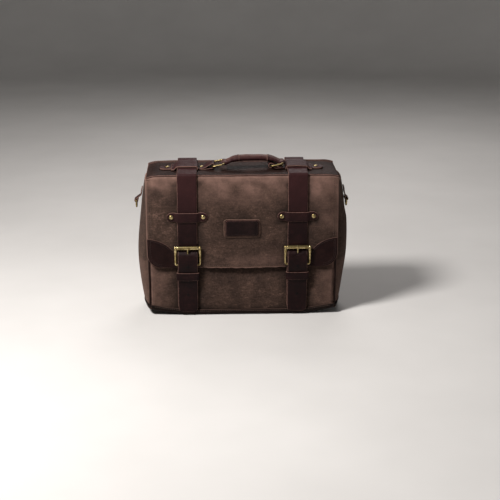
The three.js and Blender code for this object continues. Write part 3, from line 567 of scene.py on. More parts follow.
def metal(name, dark, mid, bright, place="rest"):
    """Antique brass: dull in the hollows, rubbed bright."""
    k = Look(name, place)
    total = k.blend((k.noise(180, 4.0, 0.6, 0.5), 0.65), (k.noise(900, 3.0, 0.7), 0.35))
    colour = k.ramp(total, (0.36, dark), (0.48, mid), (0.64, bright))
    bump = k.bump(k.noise(1400, 3.0, 0.6), 0.06, 0.0002)
    bump = k.bump(k.noise(260, 2.0, 0.5), 0.05, 0.0004, bump)
    return k.finish(Base_Color=colour, Roughness=k.span(total, 0.35, 0.65, 0.46, 0.24), Normal=bump,
                    Metallic=1.0)


def cloth(name, dark, light, place="rest"):
    """Plain twill lining."""
    k = Look(name, place)
    tilt = k.node("ShaderNodeMapping", Vector=k.place, Rotation=(0.6, 0.5, 0.785))
    weave = k.node("ShaderNodeTexWave", 1, Vector=tilt, Scale=170.0, Distortion=0.6, Detail=2.0)
    total = k.blend((weave, 0.5), (k.noise(900, 2.0, 0.6), 0.5))
    colour = k.ramp(total, (0.25, dark), (0.8, light))
    stain = k.span(k.noise(30, 4.0, 0.6), 0.45, 0.7, 0.0, 0.35)
    return k.finish(Base_Color=k.mix(stain, colour, dark), Roughness=0.92, Sheen_Weight=0.15,
                    Normal=k.bump(total, 0.4, 0.0004), Specular_IOR_Level=0.2)


def thread(name, dark, light):
    k = Look(name)
    twist = k.noise(2600, 2.0, 0.6)
    colour = k.ramp(k.blend((k.noise(120, 3.0), 0.5), (twist, 0.5)), (0.35, dark), (0.65, light))
    return k.finish(Base_Color=colour, Roughness=0.75, Normal=k.bump(twist, 0.4, 0.0002),
                    Specular_IOR_Level=0.3)


# Its last colour is for worn spots and edges, and for the painted highlight on the flap.
SUEDE = suede("suede", (38, 28, 24), (55, 42, 36), (74, 57, 49), (126, 98, 88))
# Painted highlight at the straps' tops, through the last argument.
STRAP_LEATHER = leather("strap_leather", (17, 7, 7), (24, 10, 10), (36, 18, 18), (112, 84, 75),
                        (0.40, 0.60), top_highlight=0.095)
BAND_LEATHER = leather("band_leather", (24, 13, 11), (31, 19, 16), (42, 28, 24), (116, 88, 80), gloss=0.07)
# Darker than the band leather: partly its own darker tone, partly painted shade low on the bag.
BOTTOM_LEATHER = leather("bottom_leather", (14, 9, 8), (21, 14, 12), (31, 22, 19), (62, 47, 41),
                         (0.55, 0.75), 0.07)
PATCH_LEATHER = leather("patch_leather", (19, 8, 8), (26, 12, 11), (34, 18, 16), (104, 78, 70),
                        (0.50, 0.66), 0.08)
DARK_LEATHER = leather("dark_leather", (15, 7, 7), (22, 11, 11), (33, 19, 18), (96, 62, 58),
                       (0.5, 0.7), crease=False)
FRAME_LEATHER = leather("label_edge_leather", (44, 32, 28), (60, 45, 39), (78, 60, 52), (130, 102, 90),
                        (0.6, 0.8), crease=False)
# Dark colour of the punched holes: painted shade, as their discs are nearly flat.
HOLE = leather("hole_painted_shade", (12, 8, 8), (18, 12, 12), (30, 20, 20), (44, 30, 28), (0.7, 0.8), crease=False)
BRASS = metal("brass", (92, 78, 46), (150, 132, 88), (216, 198, 150))
BRASS_CAD = metal("brass_studs", (92, 78, 46), (150, 132, 88), (216, 198, 150), "object")
LINING = cloth("lining_cloth", (70, 60, 50), (104, 90, 76))
LINING_CAD = cloth("board_cloth", (70, 60, 50), (104, 90, 76), "object")
THREAD = thread("thread", (56, 42, 36), (98, 78, 68))
DARK_THREAD = thread("dark_thread", (34, 23, 21), (66, 47, 43))


# ---- the bag's surfaces ----
def off_strap(x, reach=27.0):
    """0 under the straps and 1 away from them."""
    return 1 - hill(np.abs(x), STRAP_X, reach, 4)


def grime_at(x, z):
    """Painted shade: beside the straps, around the keepers and the label, and a painted shadow under the
    flap's lower edge; also darker near the foot and on the flap's upper left.
    """
    x, z = np.asarray(x, float), np.asarray(z, float)
    off = np.abs(np.abs(x) - STRAP_X)
    # painted shade beside the straps
    beside = hill(past(off, STRAP_HALF), 0, 11, 1.5)
    keeper = hill(past(off, 41), 0, 5) * hill(past(np.abs(z - KEEPER_Z + 3), 10), 0, 5)
    label = hill(np.hypot(past(np.abs(x + 1), 36), past(np.abs(z - 188), 19)), 0, 6)
    # darker near the foot, and a painted shadow just under the flap's lower edge
    low = 0.85 * step(-z, -26, -13) + 0.6 * hill(z, 99, 9) * off_strap(x)
    # darker on the flap's upper left
    left = 0.55 * hill(x, -172, 24) * hill(z, 226, 40)
    return np.clip(beside + 0.8 * keeper + 0.6 * label + low + left, 0, 1)


def flap_y(x, z):
    """The flap's front face. It lies flat under the straps and stands out between them."""
    x, z = np.asarray(x, float), np.asarray(z, float)
    free, wide = off_strap(x), off_strap(x, 42.0)
    low = step(150 - z, 0, 46)
    middle = np.clip(1 - (np.abs(x) / 92) ** 2.6, 0, 1) ** 0.9
    out = 7.0 * low**1.4 * middle + 1.8 * low * step(np.abs(x), 138, 190)
    out = out + (0.7 * free + 2.6 * wide) * np.sin(math.pi * np.clip((z - 112) / 185, 0, 1)) ** 0.8
    out = out + 0.75 * free * ripple(x, z, 64, 3) + 0.35 * free * ripple(x, z, 24, 4)
    tuck = 2.6 * step(np.abs(x), 176, 195) * step(z, 120, 190)
    return FRONT - 0.05 - out + tuck


def lid_top(x, y):
    """The lid's top face. It sags between what is sewn to it, and its ends droop."""
    x, y = np.asarray(x, float), np.asarray(y, float)
    clear = np.cos(np.minimum(np.abs(x) / 52, 1) * QUARTER) ** 0.5
    sag = 1.8 * clear * np.clip(np.cos(math.pi * y / 116), 0, 1)
    droop = np.where(x < 0, 5.2, 3.4) * np.clip((np.abs(x) - 171) / 24, 0, 1) ** 2
    wave = 0.5 * (0.5 + 0.5 * ripple(x, y, 46, 31)) * off_strap(x)
    return TOP - 0.12 - sag - droop - wave


def front_y(x, z):
    """The front panel's outer face."""
    x, z = np.asarray(x, float), np.asarray(z, float)
    free, wide = off_strap(x), off_strap(x, 40.0)
    belly = np.sin(math.pi * np.clip((z - 8) / 96, 0, 1))
    out = belly * (1.4 * free + 3.2 * wide + 0.8 * free * ripple(x, z, 70, 5))
    folds = 0.6 * free * np.abs(ripple(x, z, 34, 6)) * step(z, 20, 40)
    return FRONT_FACE + 0.05 - (out + folds) * (1 - step(z, 100, 112)) + 0.7 * step(z, 96, 112)


def bulge_half(z, side):
    """Half width of a gusset at mid depth. The left one leans in at its top, the right one is fuller."""
    half = BULGE_HALF - 14 * ((z - 150) / 140) ** 2
    if side < 0:
        return half - 6.0 * step(z, 100, 225)
    return half + 3.0 * step(z, 60, 130) * (1 - step(z, 190, 218))


def gusset_x(y, z, u, side):
    """How far out a gusset is at a share u of the way from front to back."""
    out = math.sin(math.pi * u) ** 0.85
    fold = 3.0 * step(z, 150, 285) * (hill(u, 0.2, 0.07) + hill(u, 0.8, 0.07))
    sway = 1.1 * float(ripple(y, z, 62, 8 + side)) * (1 - hill(y, 0, 18, 4))
    half = PANEL_HALF + (float(bulge_half(z, side)) - PANEL_HALF - fold + sway) * out
    return half - 4.0 * hill(u, 0.055, 0.04)


def shell_loop(z_share, inset=0.0, top_drop=0.0, floor=None):
    """One ring of the bag's wall. z_share runs from its foot (0) to its rim (1)."""
    points = []
    turn, straight = 5.0, PANEL_HALF - 5

    def height(foot, rim, floor_x):
        foot = PANEL_FOOT + rise(foot) if floor is None else floor(floor_x)
        return foot + (rim - top_drop - foot) * z_share

    for x in np.linspace(-straight, straight, 101):
        z = height(x, FRONT_TOP, x)
        points.append([x, float(front_y(x, z)), z])
    for side in (1, -1):
        part = [(*at, None) for at in arc(-72, 0, 5, turn, (straight, FRONT_FACE + turn))]
        part += [(None, FRONT_FACE + turn + (BACK - FRONT_FACE - 2 * turn) * u, u)
                 for u in np.linspace(0, 1, 41)[1:-1]]
        part += [(*at, None) for at in arc(0, 72, 5, turn, (straight, BACK - turn))]
        if side < 0:
            for x in np.linspace(straight, -straight, 61):
                points.append([x, BACK, height(x, BACK_RIM, x)])
            part = part[::-1]
        for x, y, u in part:
            along = (y - FRONT_FACE) / (BACK - FRONT_FACE)
            rim = FRONT_TOP + (BACK_RIM - FRONT_TOP) * float(step(along)) - 7 * math.sin(math.pi * along)
            if u is None:
                points.append([side * x, y, height(x, rim, side * x)])
            else:
                z = height(PANEL_HALF + END_FULL * math.sin(math.pi * u), rim, 200.0)
                points.append([side * gusset_x(y, z, u, side), y, z])
    points = np.array(points)
    around = np.roll(points, -1, 0) - np.roll(points, 1, 0)
    points[:, :2] -= unit(coords(around[:, 1], -around[:, 0])) * inset
    return points


def bag_shell():
    """The suede walls, as one closed skin with a rounded rim."""
    shares = np.concatenate([np.linspace(0, 0.96, 58), [0.975, 0.988, 0.996, 1.0]])
    outer = [shell_loop(share) for share in shares]
    crown = [shell_loop(1.0, inset) + 0.7 * Z for inset in (0.9, 2.5)]
    points = np.stack([*outer, *crown, *(shell_loop(share, WALL) for share in shares[::-1])])
    x, y, z = np.moveaxis(points, -1, 0)
    near_rim = np.clip(1 - (outer[-1][:, 2] - z) / 7, 0, 1)
    seam = hill(np.abs(x), 188, 4.5) * (y < FRONT_FACE + 6)
    lower = 0.30 * step(np.abs(x), 135, 180) * (z < 112)
    # Painted shade in the front corners beside the gussets, and on the front below the flap.
    corner = hill(y, FRONT_FACE + 6, 6) * (np.abs(x) > 186)
    grime = grime_at(x, z) * (y < FRONT_FACE + 2) * (z < 112)
    return grid(points, True, True, edge=np.clip(near_rim * 1.1 - 0.1, 0, 1),
                wear=np.clip(0.9 * near_rim + 0.55 * seam + lower, 0, 1),
                grime=np.maximum(grime, 0.5 * corner))


build("bag_shell", [bag_shell()], SUEDE, "bag_body",
      ["front_panel", "back_panel", "gusset_left", "gusset_right"])


def lining_shell():
    """The lining's walls and floor, with a thickness of 0.9 mm."""
    def floor_at(height):
        return lambda x: float(rise(min(abs(x), 196.0))) + height

    def inward(ring, floor):
        spine = coords(np.clip(ring[:, 0], -130, 130), MIDDLE_Y)
        rows = []
        for t in (1.0, 0.8, 0.6, 0.4, 0.2, 0.08):
            flat = ring[:, :2] * (1 - t) + spine * t
            rows.append(np.column_stack([flat, [floor(x) for x in flat[:, 0]]]))
        return rows

    shares = np.linspace(0, 1, 30)
    inside, under = floor_at(8.2), floor_at(7.3)
    wall = [shell_loop(share, 4.9, 1.6, inside) for share in shares]
    outside = [shell_loop(share, 4.0, 1.6, under) for share in shares[::-1]]
    rows = inward(wall[0], inside) + wall + outside + inward(outside[-1], under)[::-1]
    return grid(np.stack(rows), False, True)


build("bag_lining", [lining_shell()], LINING, "bag_body", ["lining"])


def bottom_leather():
    """The leather that wraps under the bag, with a lip up its front and back and a welt at its ends."""
    front, back = bottom_low[1], bottom_high[1]
    thick, edge_up = 2.8, 0.5
    section = [[front, LIP], [front, 7], [front - 0.4, 2.5], [front + 5, 0.1], [front + 14, 0]]
    section += [[front + back - y, z] for y, z in section[::-1]]
    profile = smooth(section, 2.4)
    tangent = unit(np.gradient(profile, axis=0))
    inward = coords(-tangent[:, 1], tangent[:, 0])
    along = np.concatenate([[-1, -0.997], np.linspace(-0.985, 0.985, 121), [0.997, 1]])
    thin = np.where(np.abs(along) == 1, 0.5, 1.0)[:, None, None]
    fullness = np.clip(1 - ((profile[:, 0] - MIDDLE_Y) / 62) ** 2, 0, 1) ** 0.6
    fullness = fullness * step(LIP - profile[:, 1], 2, 9)

    def surface(depth):
        y, z = (profile + inward * depth).T
        x = along[:, None] * (PANEL_HALF + END_FULL * fullness)
        return coords(x, y + 0.25 * ripple(x, z * 3, 40, 9), z + rise(x))

    outer, middle, inner = surface(0.0), surface(thick / 2), surface(thick)
    centre = (outer + inner) / 2
    outer, inner = centre + (outer - centre) * thin, centre + (inner - centre) * thin
    middle[..., 2] += edge_up
    ring = np.concatenate([outer, middle[:, -1:], inner[:, ::-1], middle[:, :1]], 1)
    count, size = len(profile), ring.shape[1]
    run = run_of(profile)
    edge = np.clip(1 - np.minimum(run, run[-1] - run) / 3.5, 0, 1)
    ends = np.clip(1 - (1 - np.abs(along))[:, None] * PANEL_HALF / 3.5, 0, 1)
    corner = 0.3 * hill(profile[:, 1], 1.5, 2.5)
    pts, faces, values = grid(ring, False, True, wear=np.concatenate([corner, [0.3], corner * 0, [0.3]]),
                              edge=np.maximum(np.concatenate([edge, [1], edge[::-1], [1]]), ends))
    for start in (0, (len(along) - 1) * size):
        for k in range(count - 1):
            faces.append([start + k, start + k + 1, start + 2 * count - k - 1, start + 2 * count - k])
        faces.append([start, start + 2 * count, start + 2 * count + 1])
        faces.append([start + count - 1, start + count, start + count + 1])
    return pts, faces, values


def end_welt(side):
    """The welt round one end of the bottom leather."""
    u = np.linspace(0.015, 0.985, 44)
    x = side * (PANEL_HALF + 1.0 + END_FULL * np.sin(math.pi * u) ** 0.85)
    y = FRONT_FACE + 2 + (BACK - FRONT_FACE - 4) * u
    return tube(coords(x, y, rise(np.abs(x)) + 4.4), 1.9, 12)


def front_piping(side):
    """The welt down one front edge."""
    z = np.linspace(13.5, piping_high[2], 60)
    x = side * (PANEL_HALF + 2.0 + 0.25 * ripple(z, z * 0, 60, 12 + side) - 3.2 * step(26 - z, 0, 14))
    y = (piping_low[1] + piping_high[1]) / 2 + 0.2 * ripple(z, z * 0, 45, 15 + side)
    return tube(coords(x, y, z), 1.95, 14)


def cad_material(node, material):
    """Gives its material to a CAD node that no piece replaces."""
    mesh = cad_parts[node].data
    mesh.materials.clear()
    mesh.materials.append(material)


build("bottom_leather", [bottom_leather(), end_welt(-1), end_welt(1)], BOTTOM_LEATHER, "bag_body",
      ["bottom_panel"])
cad_material("base_board", LINING_CAD)
for name, side in SIDES.items():
    build(f"piping_{name}", [front_piping(side)], BAND_LEATHER, "bag_body",
          [f"front_piping_{name}"])


# ---- the flap ----
FLAP_BEND = ("lid", "flap", (0, -0.057, 0.2995), (0, -0.062, 0.292))


def flap_half(z):
    """Half width of the flap at a height, with its rounded lower corners."""
    down = np.clip(FLAP_BOTTOM + FLAP_CORNER - np.asarray(z, float), 0, FLAP_CORNER)
    return FLAP_HALF - FLAP_CORNER + np.sqrt(FLAP_CORNER**2 - down**2)


def flap_face(depth):
    """The flap's surface at a depth, from under the lid's edge, over the fold and down the front."""
    fold_z, columns = 288, 121
    s = np.linspace(-1, 1, columns)
    heights = np.concatenate([
        np.linspace(fold_z, 137, 56),
        FLAP_BOTTOM + FLAP_CORNER * (1 - np.sin(np.linspace(0.05, QUARTER, 15))),
    ])
    heights[-1] = FLAP_BOTTOM + 0.02
    over = smooth([[-38, 296.4], [-52, 296.6], [-58.5, 296.4], [FRONT, 294.5], [FRONT, fold_z]], 1.7)
    tangent = unit(np.gradient(over, axis=0))
    rows = []
    for (y, z), (ty, tz) in list(zip(over, tangent))[:-1]:
        x = s * (FLAP_HALF - 0.4)
        out = (flap_y(x, 289.0) - FRONT) * step(-z, -297, -288)
        droop = (lid_top(x, -50.0) - TOP) * step(z, 287, 296)
        rows.append(coords(x, y - tz * depth + out, z + ty * depth + droop))
    for z in heights:
        x = s * flap_half(z)
        uneven = 0.5 * ripple(x, x * 0, 9, 21) * step(112 - z, 0, 6)
        uneven = uneven + 0.35 * ripple(x, x * 0, 3.6, 22) * (z < 105.5)
        rows.append(coords(x, flap_y(x, z) + depth, z + uneven))
    return np.stack(rows)


def flap_suede():
    """The flap's leather: an outer and an inner face, with a worn rim between them."""
    outer, inner = flap_face(0.0), flap_face(WALL)
    x, _, z = np.moveaxis(outer, -1, 0)
    count, columns = x.shape
    tip = np.abs(x) / np.maximum(np.abs(x).max(1, keepdims=True), 1)
    edge = np.clip(1 - np.minimum((1 - tip) * 190, np.maximum(z - FLAP_BOTTOM, 0)) / 4.0, 0, 1)
    # The fold is worn and has a painted highlight over it; patchy is a painted highlight over the flap's
    # upper part and its middle right, weaker at the upper left.
    fold = 0.95 * hill(z, 293, 6.5)
    patchy = 0.5 * (0.9 + 0.5 * ripple(x, z * 1.4, 60, 23))
    patchy = patchy * (1.6 * step(z, 218, 290) + 0.60 * step(x, 60, 185) * step(z, 150, 220))
    patchy = patchy * (1 - 0.75 * hill(x, -172, 26) * step(-z, -284, -262))
    hem = 0.35 * hill(x, 40, 62) * hill(z, 118, 13)
    wear = np.clip(fold + patchy + 0.45 * edge + hem, 0, 1)
    # Painted shade beside the straps, keepers and label on the flap.
    shaded = grime_at(x, np.maximum(z, 118)) * np.clip(1 - fold, 0, 1)
    rim = (outer + inner) / 2
    rim[:, 0, 0] -= 0.9
    rim[:, -1, 0] += 0.9
    rim[-1, :, 2] -= 0.9
    around = [i * columns for i in range(count)]
    around += [(count - 1) * columns + j for j in range(1, columns)]
    around += [i * columns + columns - 1 for i in range(count - 2, -1, -1)]
    around += list(range(columns - 2, 0, -1))
    total, turns = count * columns, len(around)
    faces = grid_faces(count, columns)
    faces = faces.tolist() + (faces + total).tolist()
    for k, a in enumerate(around):
        n = (k + 1) % turns
        b = around[n]
        faces.append([a, b, 2 * total + n, 2 * total + k])
        faces.append([2 * total + k, 2 * total + n, total + b, total + a])
    points = np.concatenate([outer.reshape(-1, 3), inner.reshape(-1, 3), rim.reshape(-1, 3)[around]])
    edge, wear, shaded = edge.ravel(), wear.ravel(), shaded.ravel()
    return points, faces, {
        "edge": np.concatenate([edge, edge, np.ones(turns)]),
        "wear": np.concatenate([wear, wear * 0.4, np.full(turns, 0.8)]),
        "grime": np.concatenate([shaded, shaded, np.zeros(turns)]),
    }


def inside_flap(centre):
    """Whether a face is on the flap's inner side."""
    x, y, z = centre
    return z < 290 and y > flap_y(x, z) + 2.6 and abs(x) < flap_half(z) - 1.2 and z > FLAP_BOTTOM + 1.2


build("flap_suede", [flap_suede()], [SUEDE, LINING], FLAP_BEND, ["flap_panel"], inside_flap)


def on_flap(lift=0.0):
    """A function that puts points on the flap's front face, or over it."""
    return lambda x, z, high=0.0: coords(x, flap_y(x, z) - lift - high, z)


def rounded(half_x, half_z, corner):
    """A rectangle with round corners, evenly spaced, and its spine."""
    corners = [arc(start, start + 90, 13, corner, (sx * (half_x - corner), sz * (half_z - corner)))
               for sx, sz, start in ((1, 1, 0), (-1, 1, 90), (-1, -1, 180), (1, -1, 270))]
    outline = spaced(np.concatenate(corners), 0.9, closed=True)
    spine = coords(np.clip(outline[:, 0], half_z - half_x, half_x - half_z), 0.0)
    return outline, spine


LABEL_HALF = (label_high - label_low)[[0, 2]] / 2
LABEL_CENTRE = (label_high + label_low)[[0, 2]] / 2
FIELD_CENTRE = LABEL_CENTRE + [0, 0.9]


def label_frame():
    half_x, half_z = LABEL_HALF
    outline, spine = rounded(half_x, half_z, 5.0)
    bow = (outline[:, 1] / half_z) ** 2 * (np.abs(outline[:, 0]) > half_x - 6)
    outline[:, 0] -= np.sign(outline[:, 0]) * bow
    return plate(outline + LABEL_CENTRE, spine + LABEL_CENTRE, on_flap(0.2), 1.5, 8, 0.7, 2.6)


def label_field():
    outline, spine = rounded(*(LABEL_HALF - [4.4, 3.4]), 3.2)
    return plate(outline + FIELD_CENTRE, spine + FIELD_CENTRE, on_flap(1.6), 1.6, 6, 0.75, 2.0, 0.5)


def corner_turn(inset, first, last, count):
    """The flap's round lower right corner, inset from its edge."""
    centre = (FLAP_HALF - FLAP_CORNER, FLAP_BOTTOM + FLAP_CORNER)
    return arc(first, last, count, FLAP_CORNER - inset, centre)


def patch_curve():
    """The round inner edge of the right corner patch."""
    wide, _, high = patch_high - patch_low
    return arc(0, 90, 40) * [-wide, high] + [FLAP_HALF, FLAP_BOTTOM]


def corner_patch(side):
    """A quarter ellipse with the flap's round corner."""
    outline = spaced(np.concatenate([patch_curve(), corner_turn(0, 0, -90, 16)]), 1.2, closed=True)
    spine = np.zeros_like(outline) + [FLAP_HALF - 24, FLAP_BOTTOM + 24]
    return plate(outline * [side, 1], spine * [side, 1], on_flap(0.15), 1.7, 16, 0.8, 3.0)


build("label", [label_frame()], FRAME_LEATHER, "flap", ["label_patch"])
build("label_field", [label_field()], DARK_LEATHER, "flap", ())
for name, side in SIDES.items():
    build(f"flap_corner_{name}", [corner_patch(side)], PATCH_LEATHER, "flap",
          [f"corner_patch_{name}"])


# ---- the lid ----
def lid_leather():
    """The lid, with a thin front edge over the flap's leather and a rolled back edge."""
    columns, edge_y, flat_end = 131, -60.4, 56
    roll_y, roll_r, thick = 63.5, 4.3, 3.8
    s = np.linspace(-1, 1, columns)
    x = s * FLAP_HALF
    droop, edge_z = TOP - lid_top(x, flat_end), lid_top(x, -58.0)
    ring = [coords(x, edge_y, edge_z - 1.1)]
    for y in (edge_y + 0.8, *np.arange(edge_y + 2.9, flat_end, 3.5)):
        ring.append(coords(x, y, lid_top(x, y)))
    for a, r in ((150, 0.75), (125, 0.95), *((a, 1.0) for a in range(100, -1, -25)), (-25, 0.95), (-50, 0.8)):
        t = math.radians(a)
        lift = roll_r * r * math.sin(t) + 0.25 * ripple(x, x * 0, 50, 33)
        ring.append(coords(x, roll_y + roll_r * r * math.cos(t), TOP - 1.2 - droop + lift))
    ring.append(coords(x, roll_y - 2.5, TOP - 4.4 - droop))
    for y, depth in (*((y, thick) for y in (flat_end, 40, 20, 0, -20)), (-36, 3.7), (-42, 2.2)):
        ring.append(coords(x, y, lid_top(x, y) - depth))
    ring.append(coords(x, edge_y + 1, edge_z - 2.0))
    ring = np.stack(ring)
    y, z = ring[..., 1], ring[..., 2]
    edge = np.clip(1 - np.minimum((1 - np.abs(s)) * FLAP_HALF, past(y, edge_y)) / 3.5, 0, 1)
    # Painted highlight along the rolled back edge.
    roll = hill(y, 64.5, 4.5) * (z > TOP - 4.5 - droop)
    patchy = 0.10 * (0.5 + 0.5 * ripple(ring[..., 0], y, 55, 34))
    wear = np.clip(0.9 * roll + patchy + 0.4 * edge, 0, 1)
    pts, faces, values = grid(ring, True, False, edge=edge, wear=wear)
    for j in (0, columns - 1):
        faces.append([i * columns + j for i in range(len(ring))])
    return pts, faces, values


def under_lid(centre):
    """Whether a face is on the lid's underside."""
    x, y, z = centre
    return -50 < y < 60 and z < lid_top(x, y) - 3 and abs(x) < FLAP_HALF - 1


build("lid_leather", [lid_leather()], [BAND_LEATHER, LINING], FLAP_BEND, ["lid_panel"],
      under_lid)


# ---- the straps ----
STRAP_FRONT_PATH = smooth([
    (6, 304.4), (-20, 304.4), (-26, 303.9), (-33, 301.5), (-40, 301.05), (-56, 301.1), (-62.3, 301.2),
    (-64.3, 298.2), (-64.1, 292), (-64.05, 250), (-64.05, 152.5), (-64.3, 146), (-67.2, 140.5),
    (-72.4, 135.5), (-74.6, 128), (-74.4, 108), (-67.5, 96), (-67.3, 71), (-62.9, 58), (-62.75, 30),
    (-62.75, TIP_Z),
], 2.4)
STRAP_BACK_PATH = smooth([
    (-2, 304.45), (24, 304.4), (34, 301.3), (50, 301.1), (57, 302.4), (63, 305.6), (69.3, 304.2), (70.9, 298),
    (69.4, 290), (68.1, 284), (68.05, 240), (68.05, node_box("strap_back_right")[0][2]),
], 2.4)
BACK_BEND = ("lid", "bag_body", (0, 0.0600, 0.3040), (0, 0.0690, 0.2890))
STRAP_HOLES = (((-64.4, 46.0), -Y), ((-76.05, 109.5), -Y), ((-71.6, 138.6), unit([0, -0.72, 0.69])))


def strap_front(side):
    """The strap from the top of the lid to its tip, which is rounded."""
    run = run_of(STRAP_FRONT_PATH)
    left = run[-1] - run
    tip = np.sqrt(np.clip(1 - (np.clip(9 - left, 0, 9) / 9.6) ** 2, 0.08, 1))
    half = np.where(left < 9, STRAP_HALF * (0.45 + 0.55 * tip), STRAP_HALF - 5.5 * (1 - tip))
    points = across_x(side * STRAP_X, STRAP_FRONT_PATH)
    points[:, 0] += 0.35 * ripple(run, run * 0, 120, 40 + side) * step(left, 0, 40)
    return band(points, X, half, STRAP, 18, 0.25, 1.3, 3.6)


# A near flat disc on the strap; its dark material paints the hole's shade.
def punched_hole(place, axis):
    rim = [(0, 0.28), (1.5, 0.30), (2.1, 0.42), (2.6, 0.34), (2.9, 0.05), (2.9, -0.6), (0, -0.6)]
    return lathe(rim, place, axis, 16)


for name, side in SIDES.items():
    x = side * STRAP_X
    back = band(across_x(x, STRAP_BACK_PATH), X, STRAP_HALF, STRAP, 18, 0.2, 1.3, 3.6)
    build(f"strap_{name}", [strap_front(side)], STRAP_LEATHER, FLAP_BEND,
          [f"strap_front_{name}", f"strap_top_{name}"])
    build(f"strap_rear_{name}", [back], STRAP_LEATHER, BACK_BEND, [f"strap_back_{name}"])
    holes = [punched_hole(np.array([x, *place]), axis) for place, axis in STRAP_HOLES]
    build(f"strap_holes_{name}", holes, HOLE, "flap", ())

for name, side in SIDES.items():
    z = np.linspace(strip_high[2], strip_low[2], 40)
    path = across_x(side * STRAP_X - 1.4, coords(strip_high[1] - 1.55, z))
    half = STRAP_HALF - 2.2 * step(strip_low[2] + 8 - z, 0, 8)
    build(f"lower_strip_{name}", [band(path, X, half, 2.7, 14, 0.15, 1.2, 3.6)], STRAP_LEATHER, "bag_body",
          [f"lower_strip_{name}"])


# ---- the handle ----
def round_end(run, length):
    """How wide a strip is along its round end, as a share of its width."""
    return np.sqrt(np.clip(1 - (1 - np.clip(run / length, 0, 1)) ** 2, 0, 1))


def bent(value, power):
    """A power of a value's size, with the value's sign."""
    return np.sign(value) * np.abs(value) ** power


def mirrored(half, middle, axis=0):
    """A path with its first half mirrored, from one end over its middle to the other."""
    flip = np.ones(len(middle))
    flip[axis] = -1
    return np.concatenate([np.array(half) * flip, [middle], half[::-1]])


def tab(side):
    """A folded strip: a long tongue under the strap and a loop round the ring's bar."""
    path = [(168, TOP + 1.8), (150, TOP + 1.8), (120, TOP + 1.8), (95, TOP + 1.8), (86, TOP + 1.05),
            (74, TOP + 1.1), *arc(-80, -290, 12, 4.75, PIVOT[[0, 2]]), (69.5, 307.4), (75, 303.2),
            (82, TOP + 2.75), (90.5, TOP + 2.6)]
    path = smooth(path, 1.6, 2)
    run = run_of(path)
    half = (16 - 1.2 * np.sin(np.clip(run / 70, 0, 1) * math.pi)) * (0.35 + 0.65 * round_end(run, 13))
    return band(along_x(side, path), Y * -side, half, 2.8 - 1.25 * step(run, 74, 84), 12, 0.25, 1.2, 3.2)


def tab_stitches(side):
    t = np.linspace(0, 1, 120)[6:]
    out = np.maximum(12.6 * round_end(t, 1 / 9), 0.4)
    rows = [coords(side * (165.5 - 17 * t), way * out, TOP + 3.25) for way in (-1, 1)]
    return [stitches(row, Z, 3.4, 2.4, 0.34) for row in rows]


def bridge(side):
    """The wide strip over the strap. Its corners come down on the lid at both sides of the strap."""
    path = soften([(bridge_low[0] + 1.4, 303.0), (bridge_low[0] + 1.5, 307.4), (96, 308.0), (STRAP_X, 308.0),
                   (132, 307.9), (136.2, 305.2), (138.5, 304.1), (bridge_high[0], 303.9)])
    pts, faces, values = band(along_x(side, spaced(path, 1.8)), Y * -side, 26, 2.6, 22, 0.25, 1.2, 4.0)
    x, y, z = pts.T
    foot = step(np.abs(x), 134.5, 139) + step(-np.abs(x), -93, -90.5) * step(-z, -306, -303)
    z -= 2.5 * foot * step(np.abs(y), 16.5, 21)
    z += 0.35 * ripple(x, y, 24, 51 + side) * step(z, 305, 308)
    return pts, faces, values


def handle_ring(side):
    along = np.array([math.cos(LINK_ANGLE), 0, math.sin(LINK_ANGLE)])
    outline, _ = rounded(LINK / 2, 23.0, 5.0)
    path = PIVOT * [side, 1, 1] + along * LINK / 2 + outline[:, :1] * along + outline[:, 1:] * Y
    return tube(path, 2.0, 16, True, np.cross(along, Y))


EYES = [side * PIVOT[0] + LINK * math.cos(LINK_ANGLE) for side in (-1, 1)]
EYE_Z = PIVOT[2] + LINK * math.sin(LINK_ANGLE)
GRIP_LENGTH = EYES[1] - EYES[0] - 8
SLEEVE = 31


def grip_z(t):
    """Height of the grip's middle at a share of its length."""
    return EYE_Z + 1 + 7.8 * (1 - np.abs(2 * t - 1) ** 3)


def grip():
    """The padded middle of the handle, with a seam along its underside."""
    t = np.linspace(0, 1, 96)[:, None]
    angle = circle(40)
    x = EYES[0] + 4 + GRIP_LENGTH * t + 0 * angle
    reach = np.abs(2 * t - 1)
    taper = step(reach, 0.66, 0.93)
    end = np.sqrt(np.clip((1 - reach) / 0.022, 0.02, 1))
    half_y = (11.7 + 1.7 * taper - 0.5 * hill(reach, 0.78, 0.05)) * end
    half_z = (6.6 - 2.5 * taper) * end
    seam = 0.9 * hill(angle, 4.712, 0.13) * (taper < 0.5)
    high = half_z * np.sin(angle) * (1 - 0.12 * (np.sin(angle) < 0)) + seam
    y = half_y * bent(np.cos(angle), 0.9) + 0.25 * ripple(x, angle * 6, 38, 61)
    z = grip_z(t) + high + 0.18 * ripple(x, angle * 8, 17, 62)
    # Painted highlight along the grip's top.
    return closed_ends(coords(x, y, z), wear=0.8 * np.clip(np.sin(angle), 0, 1) ** 2)


def sleeve_z(reach):
    """Height of a sleeve's middle at a distance from the ring's bar."""
    return EYE_Z + (grip_z(np.abs(reach - 4) / GRIP_LENGTH) - EYE_Z) * step(reach, 1, 15)


def sleeve_power(reach):
    """How round a sleeve is: low is square and 1 is round."""
    return np.interp(reach, [0, 8, 20], [0.34, 0.5, 0.95])


